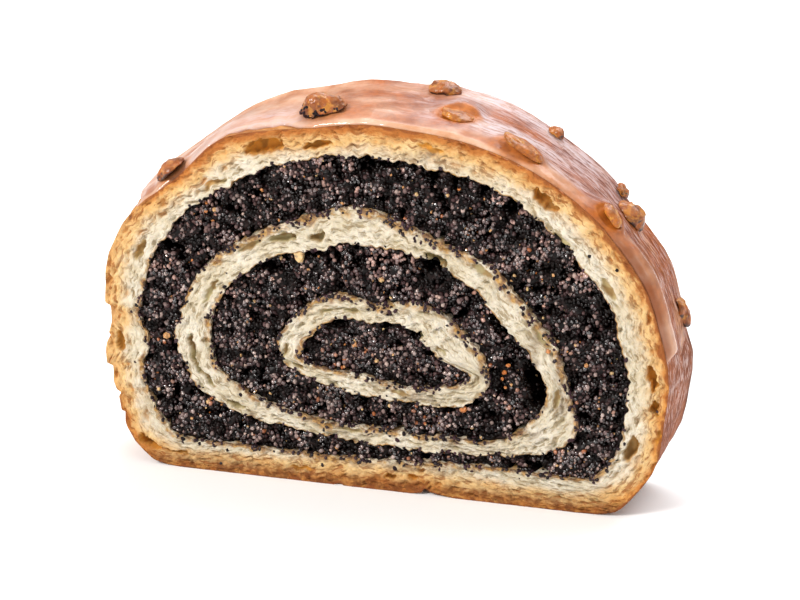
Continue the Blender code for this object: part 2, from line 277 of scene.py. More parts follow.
# Node, seed, rows of points on the front cut, on the outer wall and on the back cut, and whether baked.
TURNS = (("dough_outer", 1, 26, 36, 18, True), ("dough_middle", 2, 22, 5, 16, False),
         ("dough_inner", 3, 20, 5, 16, False))
# Large pockets: pixel across and down, half length, half height and depth in mm.
LARGE_POCKETS = {
    "dough_outer": [(262, 146, 4.4, 1.5, 3.4), (317, 145, 3.6, 0.7, 1.8), (545, 202, 3.4, 1.1, 3.2),
                    (651, 380, 2.6, 0.9, 2.8), (654, 409, 1.7, 0.7, 2.4), (631, 450, 2.9, 1.1, 2.6),
                    (139, 250, 2.4, 0.8, 1.6), (120, 340, 2.5, 0.9, 1.6), (148, 443, 2.5, 1.1, 3.0),
                    (390, 477, 1.4, 0.6, 1.4), (412, 478, 1.2, 0.6, 1.4), (430, 150, 2.6, 0.6, 0.9),
                    (215, 183, 3.0, 0.6, 1.0), (608, 290, 2.6, 0.7, 1.0), (560, 240, 2.4, 0.6, 0.9),
                    (660, 440, 1.6, 0.5, 1.0), (180, 452, 2.4, 0.5, 0.9), (300, 470, 2.6, 0.5, 0.9)],
    "dough_middle": [(283, 238, 3.0, 1.0, 2.2), (318, 239, 2.1, 0.8, 2.0), (436, 260, 2.8, 0.9, 3.0),
                     (192, 350, 4.2, 0.55, 2.0), (207, 377, 3.4, 0.55, 2.0), (235, 405, 2.0, 0.9, 1.8),
                     (250, 246, 3.0, 0.6, 1.0), (482, 272, 2.6, 0.6, 1.0), (540, 340, 2.6, 0.5, 1.0),
                     (210, 290, 3.2, 0.6, 1.0), (556, 400, 2.4, 0.6, 1.0), (350, 430, 3.0, 0.5, 0.8)],
    "dough_inner": [(327, 311, 1.5, 0.55, 1.0), (352, 311, 2.0, 0.65, 1.3), (414, 336, 1.4, 1.1, 2.0),
                    (285, 350, 1.8, 0.4, 1.0), (440, 350, 1.8, 0.5, 0.9), (400, 394, 2.4, 0.5, 0.8),
                    (298, 366, 1.3, 0.7, 1.4)],
}
# Chipped crust: pixel across and down, depth of the step, reach above and below it in mm.
FLAKES = [(103, 303, 1.0, 0.5, 4.5), (106, 364, 1.1, 0.5, 4.0), (113, 391, 1.0, 1.2, 1.0),
          (123, 411, 0.7, 0.5, 2.5), (104, 333, 0.5, 0.5, 2.0), (337, 481, 0.9, 1.5, 1.5),
          (424, 489, 1.0, 1.2, 1.4)]
# Dull stretches, painted partly as shade and partly as poppy stain: pixel across and down, half width and
# half height in mm.
SHADE_AND_STAIN_SPOTS = [(425, 157, 8.0, 1.8), (468, 445, 9.0, 2.6), (350, 438, 7.0, 2.0), (480, 378, 3.5, 4.5),
         (560, 385, 3.4, 12.0), (534, 352, 3.0, 6.0), (330, 400, 6.0, 1.6), (540, 440, 4.0, 3.0),
         (420, 398, 6.0, 1.4), (398, 468, 16.0, 1.6), (586, 470, 5.0, 2.0), (250, 415, 3.0, 2.0)]


def fibre_space(columns, girth, across):
    """Places in a dough whose fibres run along the turn: drawn together lengthways, and endless."""
    turn = np.arange(columns) / columns * FULL_TURN
    small = girth / FULL_TURN / DRAWN_OUT
    return points(small * np.cos(turn), small * np.sin(turn), across)


def crumb_relief(x, z, pace, across, fibre, seed, large):
    """How far points of a cut face lie below its plane, their pocket's depth and its smooth lining."""
    rng = np.random.default_rng(seed)
    columns = x.shape[1]
    flat = points(x, z, 0.0)
    strand = lumps(fibre, 0.6 * MM, seed)
    groove = ease(1 - np.abs(lumps(fibre, 1.1 * MM, seed + 1)) / 0.13)
    ragged = lumps(flat, 0.8 * MM, seed + 1)
    swell = lumps(flat, 4.5 * MM, seed + 2)
    pockets = []
    width = across[-1]
    smallest, largest = POCKET_SIZES
    for _ in range(int(float((width * pace).sum()) / MM ** 2 * POCKETS_PER_MM2)):
        half = smallest * (largest / smallest) ** (rng.random() ** 2.4)
        column = rng.random() * columns
        centre = (0.05 + 0.9 * rng.random()) * width[int(column)]
        flatness = 0.20 + 0.28 * rng.random()
        depth = min(0.9, 0.22 + 0.9 * half * flatness) * (0.6 + 0.8 * rng.random())
        pockets.append((column, centre, half, half * flatness, depth, (rng.random() - 0.5) * 0.5, False))
    for pixel_x, pixel_y, half, tall, depth in large:
        spot_x, spot_z = on_cut_face((pixel_x, pixel_y))
        row, column = np.unravel_index(np.argmin(np.hypot(x - spot_x, z - spot_z)), x.shape)
        pockets.append((float(column), across[row, column], half, tall, depth, 0.0, True))
    pit, lining = np.zeros_like(x), np.zeros_like(x)
    for column, centre, half, tall, depth, tilt, smooth in pockets:
        span = int(1.4 * half * MM / pace) + 2
        near = np.arange(int(column) - span, int(column) + span + 1)
        run = ((near - column) * pace)[None, :]
        near = near % columns
        rise = across[:, near] - centre
        lengthways = np.abs(run + rise * tilt) / (half * MM)
        crossways = np.abs(rise - run * tilt) / (tall * MM)
        raggedness, steepness, edge = (0.18, 5, 9) if smooth else (0.45, 2, 4)
        distance = (crossways ** 2 + lengthways ** 1.6) ** 0.5 * (1 + raggedness * ragged[:, near])
        bowl = np.sqrt(np.clip(1 - distance ** steepness, 0, 1)) * ease((1.05 - distance) * edge)
        pit[:, near] = np.maximum(pit[:, near], depth * bowl)
        if smooth:
            lining[:, near] = np.maximum(lining[:, near], ease((1.12 - distance) * 5))
    rough = 0.45 * strand + 0.25 * ragged + 0.25 * swell + 0.14 * groove
    return np.maximum(pit + rough * (1 - 0.8 * lining), -0.15) * MM, pit, lining


def flaked(x, z, depth):
    """How far the crust is chipped back near the front cut, at each of the steps it has there."""
    chip = np.zeros_like(x)
    for pixel_x, pixel_y, step, above, below in FLAKES:
        spot_x, spot_z = on_cut_face((pixel_x, pixel_y))
        fall = x - spot_x if spot_z < 1.5 * MM else spot_z - z
        beside = np.hypot(x - spot_x, z - spot_z) < 9 * MM
        shape = ease(fall / (above * MM) + 0.5) * ease(1 - fall / (below * MM))
        chip += np.where(beside, step * MM * shape, 0.0)
    return chip * ease(1.2 - (depth - CUT_FRONT) / (6 * MM))


def crust_relief(wall, fibre, seed):
    """Wrinkle the baked side: creases drawn along the loaf's curve, low blisters, chipped edge."""
    x, depth, z = np.moveaxis(wall, -1, 0)
    crease = lumps(fibre, 0.8 * MM, seed + 7)
    blister = lumps(wall, 2.0 * MM, seed + 8)
    swell = lumps(wall, 7 * MM, seed + 9)
    sunk = (0.20 - 0.17 * crease - 0.12 * blister - 0.08 * swell) * MM
    sunk = np.clip(sunk, 0, None) * ease((depth - CUT_FRONT) / (1.2 * MM)) + flaked(x, z, depth)
    sunk = np.where(z < 0.3 * MM, 0.0, sunk)
    out_x, out_z = x - heart[0], z - heart[1]
    reach = np.hypot(out_x, out_z)
    return points(x - out_x / reach * sunk, depth, np.maximum(z - out_z / reach * sunk, 0.0))


def soaked_in(x, z, across, seed, baked):
    """How far filling has soaked into the dough, most where it lay on top of a turn, and dull spots painted
    partly as shade and partly as poppy stain.
    """
    flat = points(x, z, 0.0)
    uneven = 1 + 0.6 * lumps(flat, 3.2 * MM, seed + 20) + 0.4 * lumps(flat, 1.2 * MM, seed + 21)
    topside = np.clip((z - heart[1]) / (7 * MM) + (x - heart[0]) / (24 * MM), -1, 1) * 0.5 + 0.5
    sides = [(across, (0.10 + 1.0 * (1 - topside)) * uneven)]
    if not baked:
        sides.append((across[-1] - across, (0.2 + 1.35 * topside) * uneven))
    stain = np.max([np.exp(-(away / MM / np.maximum(reach, 0.15)) ** 1.5) for away, reach in sides], axis=0)
    murk = np.zeros_like(x)
    for pixel_x, pixel_y, wide, tall in SHADE_AND_STAIN_SPOTS:
        distance = from_pixel(x, z, (pixel_x, pixel_y), wide, tall)
        murk = np.maximum(murk, ease(1.3 - distance) * ease(0.55 + 0.5 * (uneven - 1)))
    return stain, murk


def torn(x, depth, z, seed):
    """How far a rim of dough wavers where the filling has pulled at it."""
    rim = points(x, depth, z)
    return (0.65 * lumps(rim, 1.2 * MM, seed) + 0.5 * lumps(rim, 4 * MM, seed + 1)) * MM


def wall_points(rim, angles, shares):
    """Rows of points along a rim, at shares of the way from the front cut to the back."""
    depths = CUT_FRONT + (CUT_BACK - CUT_FRONT) * shares[:, None]
    x, z = rim(angles, depths)
    return points(x, depths, z)


def dough_band(node, seed, face_rows, wall_rows, back_rows, baked):
    """One turn of dough: cut face, outer wall, back face and inner wall in one skin."""
    inner, outer = rim_reader(node, False), rim_reader(node, True)
    angles, girth = even_angles(outer, CRUMB_SIDE)
    columns = len(angles)
    rows, fibres, marks = [], [], {"pit": [], "lining": [], "bake": [], "stain": [], "murk": []}
    for depth, count, way in ((CUT_FRONT, face_rows, 1), (CUT_BACK, back_rows, -1)):
        share = np.linspace(0, 1, count + 1)[:, None]
        in_x, in_z = inner(angles, depth)
        out_x, out_z = outer(angles, depth)
        reach = np.hypot(out_x - in_x, out_z - in_z)
        outward_x, outward_z = (out_x - in_x) / reach, (out_z - in_z) / reach
        ragged = torn(in_x, depth, in_z, seed + 3)
        in_x, in_z = in_x + outward_x * ragged, in_z + outward_z * ragged
        if baked:
            pulled = flaked(out_x, out_z, depth) * (way == 1)
        else:
            pulled = torn(out_x, depth, out_z, seed + 5)
        out_x, out_z = out_x - outward_x * pulled, out_z - outward_z * pulled
        face_x = in_x + (out_x - in_x) * share
        face_z = in_z + (out_z - in_z) * share
        across = np.hypot(face_x - in_x, face_z - in_z)
        fibre = fibre_space(columns, girth, across)
        large = LARGE_POCKETS[node] if way == 1 else []
        relief, pit, lining = crumb_relief(face_x, face_z, girth / columns, across, fibre,
                                           seed + (way < 0), large)
        from_rim = across[-1] - across
        if baked:
            relief = relief * ease(from_rim / (0.5 * MM) + 0.2)
        order = slice(None, None, way)
        rows.append(points(face_x, depth + way * relief, np.maximum(face_z, 0.0))[order])
        fibres.append(fibre[order])
        stain, murk = soaked_in(face_x, face_z, across, seed, baked)
        bake = np.exp(-from_rim / CRUST_BAND) * baked
        for values, found in zip(marks.values(), (pit, lining, bake, stain, murk)):
            values.append(found[order])
        if way == 1:
            wall = wall_points(outer, angles, np.linspace(0, 1, wall_rows + 1)[1:-1])
            wall_fibre = fibre_space(columns, girth, wall[..., 1] + 30 * MM)
            rows.append(crust_relief(wall, wall_fibre, seed) if baked else wall)
            fibres.append(wall_fibre)
            for name, values in marks.items():
                values.append(np.full(wall.shape[:2], float(baked and name == "bake")))
    rows.append(wall_points(inner, angles, INNER_WALL_SHARES))
    fibres.append(rows[-1])
    piece = band_mesh(node + "_baked", np.concatenate(rows))
    for name, values in marks.items():
        mark(piece, name, np.concatenate(values + [np.zeros(rows[-1].shape[:2])]))
    mark(piece, "fibre", np.concatenate(fibres), "FLOAT_VECTOR", "vector")
    if baked:
        which = np.zeros(len(piece.data.polygons), dtype=np.int32)
        which[face_rows * columns:(face_rows + wall_rows) * columns] = 1
        piece.data.polygons.foreach_set("material_index", which)
    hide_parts(node)
    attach(piece, "root")
    return piece


def shade(colour):
    """A colour as seen on a screen, 0 to 255, turned into the light that a shader works in."""
    shares = [channel / 255 for channel in colour]
    return (*(c / 12.92 if c <= 0.04 else ((c + 0.055) / 1.055) ** 2.4 for c in shares), 1.0)


def add_node(tree, kind, inputs=None, **settings):
    """Add a node; an input is a value, a colour from 0 to 255 in a list, or another node's output."""
    made = tree.nodes.new(kind)
    for name, value in settings.items():
        setattr(made, name, value)
    for key, value in (inputs or {}).items():
        if isinstance(value, bpy.types.NodeSocket):
            tree.links.new(value, made.inputs[key])
        else:
            made.inputs[key].default_value = shade(value) if isinstance(value, list) else value
    return made


def step(kind, inputs, **settings):
    """Add a node to the tree that the first socket among its inputs belongs to."""
    tree = next(value.id_data for value in inputs.values() if isinstance(value, bpy.types.NodeSocket))
    return add_node(tree, kind, inputs, **settings)


def mix(factor, first, second):
    return step("ShaderNodeMix", {0: factor, 6: first, 7: second}, data_type="RGBA").outputs[2]


def calculate(operation, first, second=0.0):
    return step("ShaderNodeMath", {0: first, 1: second}, operation=operation).outputs[0]


def times(first, second):
    return calculate("MULTIPLY", first, second)


def plus(first, second):
    return calculate("ADD", first, second)


def stretch(value, low, high, to_low=0.0, to_high=1.0):
    """Map one range of values onto another, softly and without going past its ends."""
    inputs = {0: value, 1: low, 2: high, 3: to_low, 4: to_high}
    return step("ShaderNodeMapRange", inputs, interpolation_type="SMOOTHSTEP").outputs[0]


def noise_at(place, size, detail=3.0):
    inputs = {"Vector": place, "Scale": 1 / size, "Detail": detail, "Roughness": 0.55}
    return step("ShaderNodeTexNoise", inputs).outputs["Fac"]


def patches(place, size, low, high, to_low=0.0, to_high=1.0):
    """Soft patches of one size, as a mask."""
    return stretch(noise_at(place, size), low, high, to_low, to_high)


def own(shader, name):
    """A number stored on the piece's points."""
    return add_node(shader.id_data, "ShaderNodeAttribute", attribute_name=name).outputs["Fac"]


def object_space(shader):
    return add_node(shader.id_data, "ShaderNodeTexCoord").outputs["Object"]


def wire(shader, **sockets):
    for name, value in sockets.items():
        shader.id_data.links.new(value, shader.inputs[name.replace("_", " ")])


def bump(shader, height, strength, distance, **settings):
    inputs = {"Strength": strength, "Distance": distance, "Height": height}
    wire(shader, Normal=step("ShaderNodeBump", inputs, **settings).outputs["Normal"])


def new_group(name, inputs, outputs):
    """An empty node group with named inputs and outputs, and its inputs as sockets to work from."""
    group = bpy.data.node_groups.new(name, "ShaderNodeTree")
    for way, sockets in (("INPUT", inputs), ("OUTPUT", outputs)):
        for label, kind in sockets.items():
            group.interface.new_socket(label, in_out=way, socket_type="NodeSocket" + kind)
    return group, add_node(group, "NodeGroupInput").outputs


def mottling_group():
    """Uneven colour and height, as in anything baked: broad patches with a fine grain on them."""
    group, given = new_group(
        "baked mottling",
        {"Vector": "Vector", "Light": "Color", "Dark": "Color", "Patch size": "Float", "Grain size": "Float"},
        {"Color": "Color", "Height": "Float"})
    patch, grain = (step("ShaderNodeTexNoise", {
        "Vector": given["Vector"], "Scale": calculate("DIVIDE", 1.0, given[size]),
        "Detail": detail}).outputs["Fac"] for size, detail in (("Patch size", 4.0), ("Grain size", 3.0)))
    both = plus(times(stretch(patch, 0.35, 0.65), 0.62), times(stretch(grain, 0.35, 0.68), 0.38))
    add_node(group, "NodeGroupOutput", {"Color": mix(both, given["Light"], given["Dark"]), "Height": grain})
    return group


def fibre_group():
    """Strands drawn out along a turn of dough: a mask of the gaps between them and a height."""
    group, given = new_group("drawn strands", {"Strand size": "Float", "Gap size": "Float"},
                             {"Gaps": "Float", "Height": "Float"})
    fibre = add_node(group, "ShaderNodeAttribute", attribute_name="fibre").outputs["Vector"]
    strand, rope = (step("ShaderNodeTexNoise", {
        "Vector": fibre, "Scale": calculate("DIVIDE", 1.0, given[size]), "Detail": detail,
        "Roughness": roughness}).outputs["Fac"]
        for size, detail, roughness in (("Strand size", 4.0, 0.62), ("Gap size", 2.0, 0.5)))
    gap = stretch(calculate("ABSOLUTE", calculate("SUBTRACT", rope, 0.5)), 0.04, 0.0)
    gaps = calculate("MAXIMUM", times(gap, 0.35), stretch(strand, 0.48, 0.38))
    height = calculate("SUBTRACT", strand, times(gap, 0.12))
    add_node(group, "NodeGroupOutput", {"Gaps": gaps, "Height": height})
    return group


mottling = mottling_group()
strands = fibre_group()


def mottled(place, light, dark, patch_size, grain_size):
    inputs = {"Vector": place, "Light": light, "Dark": dark,
              "Patch size": patch_size, "Grain size": grain_size}
    return step("ShaderNodeGroup", inputs, node_tree=mottling).outputs[:2]


def drawn_strands(shader, strand_size, gap_size):
    inputs = {"Strand size": strand_size, "Gap size": gap_size}
    return add_node(shader.id_data, "ShaderNodeGroup", inputs, node_tree=strands).outputs[:2]


def crumb_material():
    """Pale crumb, light gold and then orange-brown towards the crust, amber where filling soaks in, with
    painted shade in its crevices, pockets and dull patches.
    """
    material, shader = new_material("baked crumb", Roughness=0.78, Specular_IOR_Level=0.25,
                                    Subsurface_Weight=0.12, Subsurface_Radius=(1.0, 0.6, 0.35),
                                    Subsurface_Scale=0.0010)
    place = object_space(shader)
    sideways, _, level = step("ShaderNodeSeparateXYZ", {0: place}).outputs
    left = times(stretch(sideways, -0.040, -0.052), stretch(level, 0.008, 0.018))
    right = times(stretch(sideways, 0.028, 0.040), stretch(level, 0.026, 0.034))
    gaps, height = drawn_strands(shader, 0.0008, 0.0016)
    pale, grain = mottled(place, [217, 208, 191], [198, 184, 156], 0.006, 0.0006)
    light_gold, _ = mottled(place, [220, 188, 134], [204, 158, 98], 0.005, 0.0007)
    deep_gold, _ = mottled(place, [212, 154, 82], [180, 108, 46], 0.004, 0.0008)
    bake = times(own(shader, "bake"), patches(place, 0.003, 0.3, 0.7, 0.8, 1.2))
    ends = plus(stretch(level, 0.008, 0.002, 0.0, 0.22), stretch(level, 0.056, 0.070, 0.0, 0.08))
    toast = plus(bake, times(ends, stretch(bake, 0.0, 0.1)))
    colour = mix(stretch(toast, 0.07, 0.40), pale, light_gold)
    deep = times(stretch(toast, 0.36, 0.82), stretch(left, 0.0, 1.0, 1.0, 0.45))
    colour = mix(deep, colour, deep_gold)
    # The gaps between the strands are painted darker, as shade in the crevices.
    between = mix(stretch(toast, 0.05, 0.5), [142, 122, 88], [146, 82, 28])
    colour = mix(times(gaps, 0.8), colour, between)
    # Pockets are painted darker the deeper they go, as shade, with a gold tint towards the crust.
    sunk = mix(stretch(toast, 0.03, 0.3), [164, 146, 106], [180, 112, 42])
    colour = mix(stretch(own(shader, "pit"), 0.2, 1.1, 0.0, 0.75), colour, sunk)
    stain = own(shader, "stain")
    amber = times(stretch(stain, 0.08, 0.6), patches(place, 0.0022, 0.36, 0.58))
    syrup = mix(patches(place, 0.0009, 0.4, 0.6), [180, 134, 64], [124, 80, 34])
    colour = mix(times(amber, 0.85), colour, syrup)
    # Dull patches: partly painted shade, partly poppy stain.
    dull = times(own(shader, "murk"), noise_at(place, 0.0014))
    colour = mix(stretch(dull, 0.1, 0.6, 0.0, 0.75), colour, [112, 88, 62])
    touching = times(stretch(stain, 0.7, 1.0), patches(place, 0.0011, 0.40, 0.62, 0.0, 0.8))
    colour = mix(touching, colour, [74, 46, 38])
    smooth = mix(stretch(toast, 0.04, 0.25), [168, 154, 112], [206, 142, 52])
    shadow = stretch(noise_at(place, 0.0024, 1.0), 0.44, 0.6, 0.0, 0.7)
    lining = own(shader, "lining")
    colour = mix(times(lining, 0.9), colour, mix(shadow, smooth, [128, 88, 34]))
    crown = times(stretch(level, 0.056, 0.066, 0.0, 0.85), stretch(bake, 0.42, 0.78))
    colour = mix(times(crown, stretch(lining, 0.0, 1.0, 1.0, 0.2)), colour, [172, 102, 44])
    sole = times(stretch(level, 0.0042, 0.0008, 0.0, 0.8), patches(place, 0.0015, 0.35, 0.6, 0.35, 1.0))
    colour = mix(sole, colour, [94, 46, 16])
    # The dark baked edge by the crust, widened at the right into a painted shadow under the glaze's run.
    edge = stretch(bake, stretch(right, 0.0, 1.0, 0.84, 0.60), stretch(right, 0.0, 1.0, 1.0, 0.82), 0.0, 0.85)
    colour = mix(times(edge, stretch(left, 0.0, 1.0, 1.0, 0.4)), colour, [134, 72, 32])
    wire(shader, Base_Color=colour)
    bump(shader, plus(height, times(grain, 0.5)), stretch(lining, 0.0, 1.0, 0.8, 0.1), 0.0006)
    return material


def crust_material():
    """The baked side: golden at the left, browner below, red-brown at the right under a thin sugar film that
    shines, its ridges painted pale as sheen and its creases painted darker as shade.
    """
    material, shader = new_material("baked crust", Specular_IOR_Level=0.25, Coat_Roughness=0.3,
                                    Subsurface_Weight=0.05, Subsurface_Radius=(1.0, 0.5, 0.25),
                                    Subsurface_Scale=0.001)
    place = object_space(shader)
    sideways, _, level = step("ShaderNodeSeparateXYZ", {0: place}).outputs
    gaps, height = drawn_strands(shader, 0.0007, 0.0012)
    golden, _ = mottled(place, [200, 140, 74], [156, 92, 40], 0.008, 0.0012)
    brown, _ = mottled(place, [150, 94, 46], [104, 56, 26], 0.006, 0.0008)
    glazed, _ = mottled(place, [160, 90, 50], [112, 56, 30], 0.006, 0.0011)
    right = stretch(sideways, 0.010, 0.045)
    # Pale colour on the ridges at the right: partly a thin sugar film, partly painted sheen.
    ridge = stretch(height, 0.46, 0.62)
    film = times(times(right, ridge), stretch(level, 0.012, 0.026, 0.2, 0.6))
    colour = mix(film, mix(right, golden, glazed), [200, 168, 158])
    # Creases painted darker, as shade.
    colour = mix(times(gaps, 0.5), colour, [92, 46, 28])
    colour = mix(stretch(level, 0.010, 0.001, 0.0, 0.8), colour, brown)
    wire(shader, Base_Color=colour, Roughness=stretch(ridge, 0.0, 1.0, 0.75, 0.5),
         Coat_Weight=times(film, 0.35))
    bump(shader, height, 0.7, 0.0005)
    return material


crumb = crumb_material()
crust = crust_material()
turns = [dough_band(*settings) for settings in TURNS]
outer_turn = turns[0]
outer_turn.data.materials.append(crumb)
outer_turn.data.materials.append(crust)
for turn in turns[1:]:
    turn.data.materials.append(crumb)


# The filling. Poppy seeds ground and boiled with sugar to a dark moist paste, with nut crumbs,
# spread on the dough before it was rolled. A lumpy dark bed carries whole seeds on both cuts.
BED_SIDE = 0.5 * MM
BED_OVERLAP = 0.55 * MM
BED_SUNK = 0.35 * MM
LEAST_SUNK = 0.42 * MM
# The least distance between whole seeds, in mm.
SEED_SPACING = 0.45
# Node and rows of points across each cut.
BEDS = (("filling_outer", 26), ("filling_middle", 20), ("filling_core", 18))
# Deep bays, where the paste is painted black as shade: pixel across and down, half width, half height and
# depth in mm.
VOIDS = [(533, 376, 2.3, 3.6, 6.0), (537, 396, 1.9, 3.6, 6.0), (502, 332, 1.6, 2.4, 5.0),
         (605, 322, 1.3, 2.2, 4.5), (511, 208, 2.5, 1.9, 5.0), (339, 173, 1.3, 1.9, 3.6),
         (376, 164, 5.2, 1.3, 4.6), (427, 174, 2.6, 1.2, 4.4), (482, 193, 2.2, 1.2, 4.0),
         (309, 255, 1.8, 1.2, 4.0), (336, 257, 3.0, 1.3, 5.0), (384, 260, 6.0, 1.25, 5.0),
         (276, 267, 3.6, 1.2, 4.6), (428, 267, 3.4, 1.2, 4.2), (546, 446, 1.5, 1.2, 3.0),
         (414, 336, 1.6, 1.2, 3.6), (468, 300, 2.2, 1.1, 2.6), (205, 225, 2.0, 0.9, 1.8),
         (160, 300, 1.1, 1.8, 1.4), (255, 300, 1.4, 1.0, 1.6), (570, 440, 2.0, 1.0, 1.6),
         (230, 440, 1.8, 0.8, 1.2), (360, 365, 1.4, 0.7, 1.2), (585, 265, 1.4, 1.4, 1.6)]
# Larger crumbs: pixel across and down, half size in mm and how brown.
LARGE_BITS = [(299, 257, 1.3, 0.0), (463, 410, 0.75, 0.9), (508, 366, 0.45, 0.9), (504, 373, 0.5, 1.0),
              (502, 379, 0.35, 0.9), (505, 388, 0.35, 0.8), (511, 385, 0.3, 0.4), (166, 336, 0.8, 0.5),
              (208, 402, 0.6, 0.2), (381, 280, 0.6, 0.1), (214, 210, 0.5, 0.3), (376, 361, 0.5, 0.2),
              (354, 345, 0.6, 0.6), (548, 352, 0.5, 0.8), (586, 366, 0.5, 0.6)]
SEED_TONES = [(0.0, [10, 4, 3]), (0.24, [28, 13, 12]), (0.44, [60, 36, 36]), (0.64, [98, 74, 72]),
              (0.84, [142, 119, 113]), (0.955, [180, 156, 146]), (0.985, [166, 90, 38])]
STUCK_TONES = [(0.0, [20, 9, 12]), (0.5, [40, 22, 28]), (1.0, [70, 44, 50])]
GROUND_TONES = [(0.0, [12, 5, 4]), (0.35, [42, 23, 22]), (0.58, [102, 76, 72]), (0.78, [162, 132, 122]),
                (0.92, [208, 178, 162]), (0.96, [168, 94, 42]), (1.0, [194, 154, 102])]


def bed_relief(x, z, seed, voids):
    """How far the filling lies below the cut: clumps, small gaps and the gaps seen in the photo."""
    flat = points(x, z, 0.0)
    clump = lumps(flat, 2.4 * MM, seed)
    fine = lumps(flat, 1.1 * MM, seed + 1)
    gap = lumps(flat, 2.1 * MM, seed + 2)
    relief = BED_SUNK + (0.50 + 1.25 * clump + 0.6 * fine + 3.2 * ease((gap - 0.08) * 3.5)) * MM
    for pixel_x, pixel_y, wide, tall, deep in voids:
        distance = from_pixel(x, z, (pixel_x, pixel_y), wide, tall) + 0.25 * fine
        relief = relief + deep * MM * ease(1.15 - distance)
    return np.maximum(relief, LEAST_SUNK)


def lens_mesh(name, rows):
    """A closed skin over rings of points, the first and last drawn together into one point."""
    rings = rows[1:-1]
    count, length = rings.shape[:2]
    index = np.arange(count * length).reshape(count, length)
    ahead = np.roll(index, -1, axis=1)
    faces = np.stack([index[:-1], index[1:], ahead[1:], ahead[:-1]], axis=-1).reshape(-1, 4).tolist()
    first, last = count * length, count * length + 1
    faces += [(first, near, after) for near, after in zip(index[0].tolist(), ahead[0].tolist())]
    faces += [(near, last, after) for near, after in zip(index[-1].tolist(), ahead[-1].tolist())]
    corners = np.concatenate([rings.reshape(-1, 3), rows[:1].mean(axis=1), rows[-1:].mean(axis=1)])
    return smooth_piece(name, corners, faces)


def bed_face(node, depth, way, angles, count, seed, margin):
    """Rows of points over one cut of a turn of filling, from its inner rim to its outer rim."""
    share = np.linspace(0, 1, count + 1)[:, None]
    out_x, out_z = rim_reader(node, True)(angles, depth)
    if node == "filling_core":
        in_x, in_z = np.full_like(out_x, heart[0]), np.full_like(out_z, heart[1])
        inner_margin = 0.0
    else:
        in_x, in_z = rim_reader(node, False)(angles, depth)
        inner_margin = margin
    reach = np.hypot(out_x - in_x, out_z - in_z)
    walk = (reach + margin + inner_margin) * share - inner_margin
    x = in_x + (out_x - in_x) / reach * walk
    z = in_z + (out_z - in_z) / reach * walk
    relief = bed_relief(x, z, seed + (way < 0) * 10, VOIDS if way == 1 else [])
    # How deep the bed lies, which thins the seeds and paints the paste black as shade, and how high, since
    # seeds in the low places are painted darker as shade.
    sunk = ease((relief / MM - 1.3) / 1.4)
    raised = ease((1.3 - relief / MM) / 0.8)
    return points(x, depth + way * relief, z)[::way], sunk[::way], raised[::way]


def dusted(face, seed):
    """Where the seeds are paler: along the top of a turn, where dough has pulled away from them."""
    ends = sorted((face[0], face[-1]), key=lambda row: np.hypot(*(row[0, ::2] - heart)))
    from_top = np.linalg.norm((face - ends[1])[..., ::2], axis=-1) / MM
    topside = np.clip((face[..., 2] - heart[1]) / (10 * MM), 0, 1)
    return topside * np.exp(-from_top / 1.3) * ease(0.75 + 1.6 * lumps(face, 2.2 * MM, seed + 8))


def filling_bed(node, seed, count):
    """The dark paste of one turn, and the two open faces that the seeds are sown on."""
    angles, _ = even_angles(rim_reader(node, True), BED_SIDE)
    cuts = (("front", CUT_FRONT, 1), ("back", CUT_BACK, -1))
    faces = [bed_face(node, depth, way, angles, count, seed, BED_OVERLAP) for _, depth, way in cuts]
    rows, sunk = (np.concatenate([face[part] for face in faces]) for part in (0, 1))
    if node == "filling_core":
        bed = lens_mesh(node + "_paste", rows)
        sunk = np.concatenate([sunk[1:-1].ravel(), sunk[[0, -1], 0]])
    else:
        bed = band_mesh(node + "_paste", rows)
    mark(bed, "sunk", sunk)
    sown = []
    for name, depth, way in cuts:
        face, sunk, raised = bed_face(node, depth, way, angles, count, seed, 0.0)
        field = band_mesh(f"{node}_{name}_field", face, around=False)
        mark(field, "sown", 1 - 0.97 * sunk)
        mark(field, "dusted", dusted(face, seed))
        mark(field, "raised", raised)
        sown.append(field)
    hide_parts(node)
    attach(bed, "root")
    return bed, sown


def mesh_of(build, name):
    """A finished bmesh as a plain mesh."""
    mesh = bpy.data.meshes.new(name)
    build.to_mesh(mesh)
    build.free()
    return mesh


def seed_shape():
    """One poppy seed, a small kidney of thirty triangles, at its real size."""
    build = bmesh.new()
    bmesh.ops.create_uvsphere(build, u_segments=5, v_segments=4, radius=1.0)
    for corner in build.verts:
        x, y, z = corner.co
        waist = 1.0 - 0.22 * math.exp(-(x / 0.45) ** 2) * (y > 0)
        corner.co = Vector((0.54 * x, 0.42 * y * waist - 0.10 * x * x, 0.38 * z)) * MM
    mesh = mesh_of(build, "seed")
    mesh.shade_smooth()
    return bpy.data.objects.new("seed", mesh)


def crumb_shape(name, size, seed):
    """One broken crumb of nut, twenty faces with blunt corners."""
    build = bmesh.new()
    bmesh.ops.create_icosphere(build, subdivisions=1, radius=1.0)
    for corner in build.verts:
        corner.co *= size * (0.75 + 0.45 * noise.noise(corner.co * 1.3 + Vector((seed, seed, seed))))
        corner.co.z *= 0.75
    return bpy.data.objects.new(name, mesh_of(build, name))


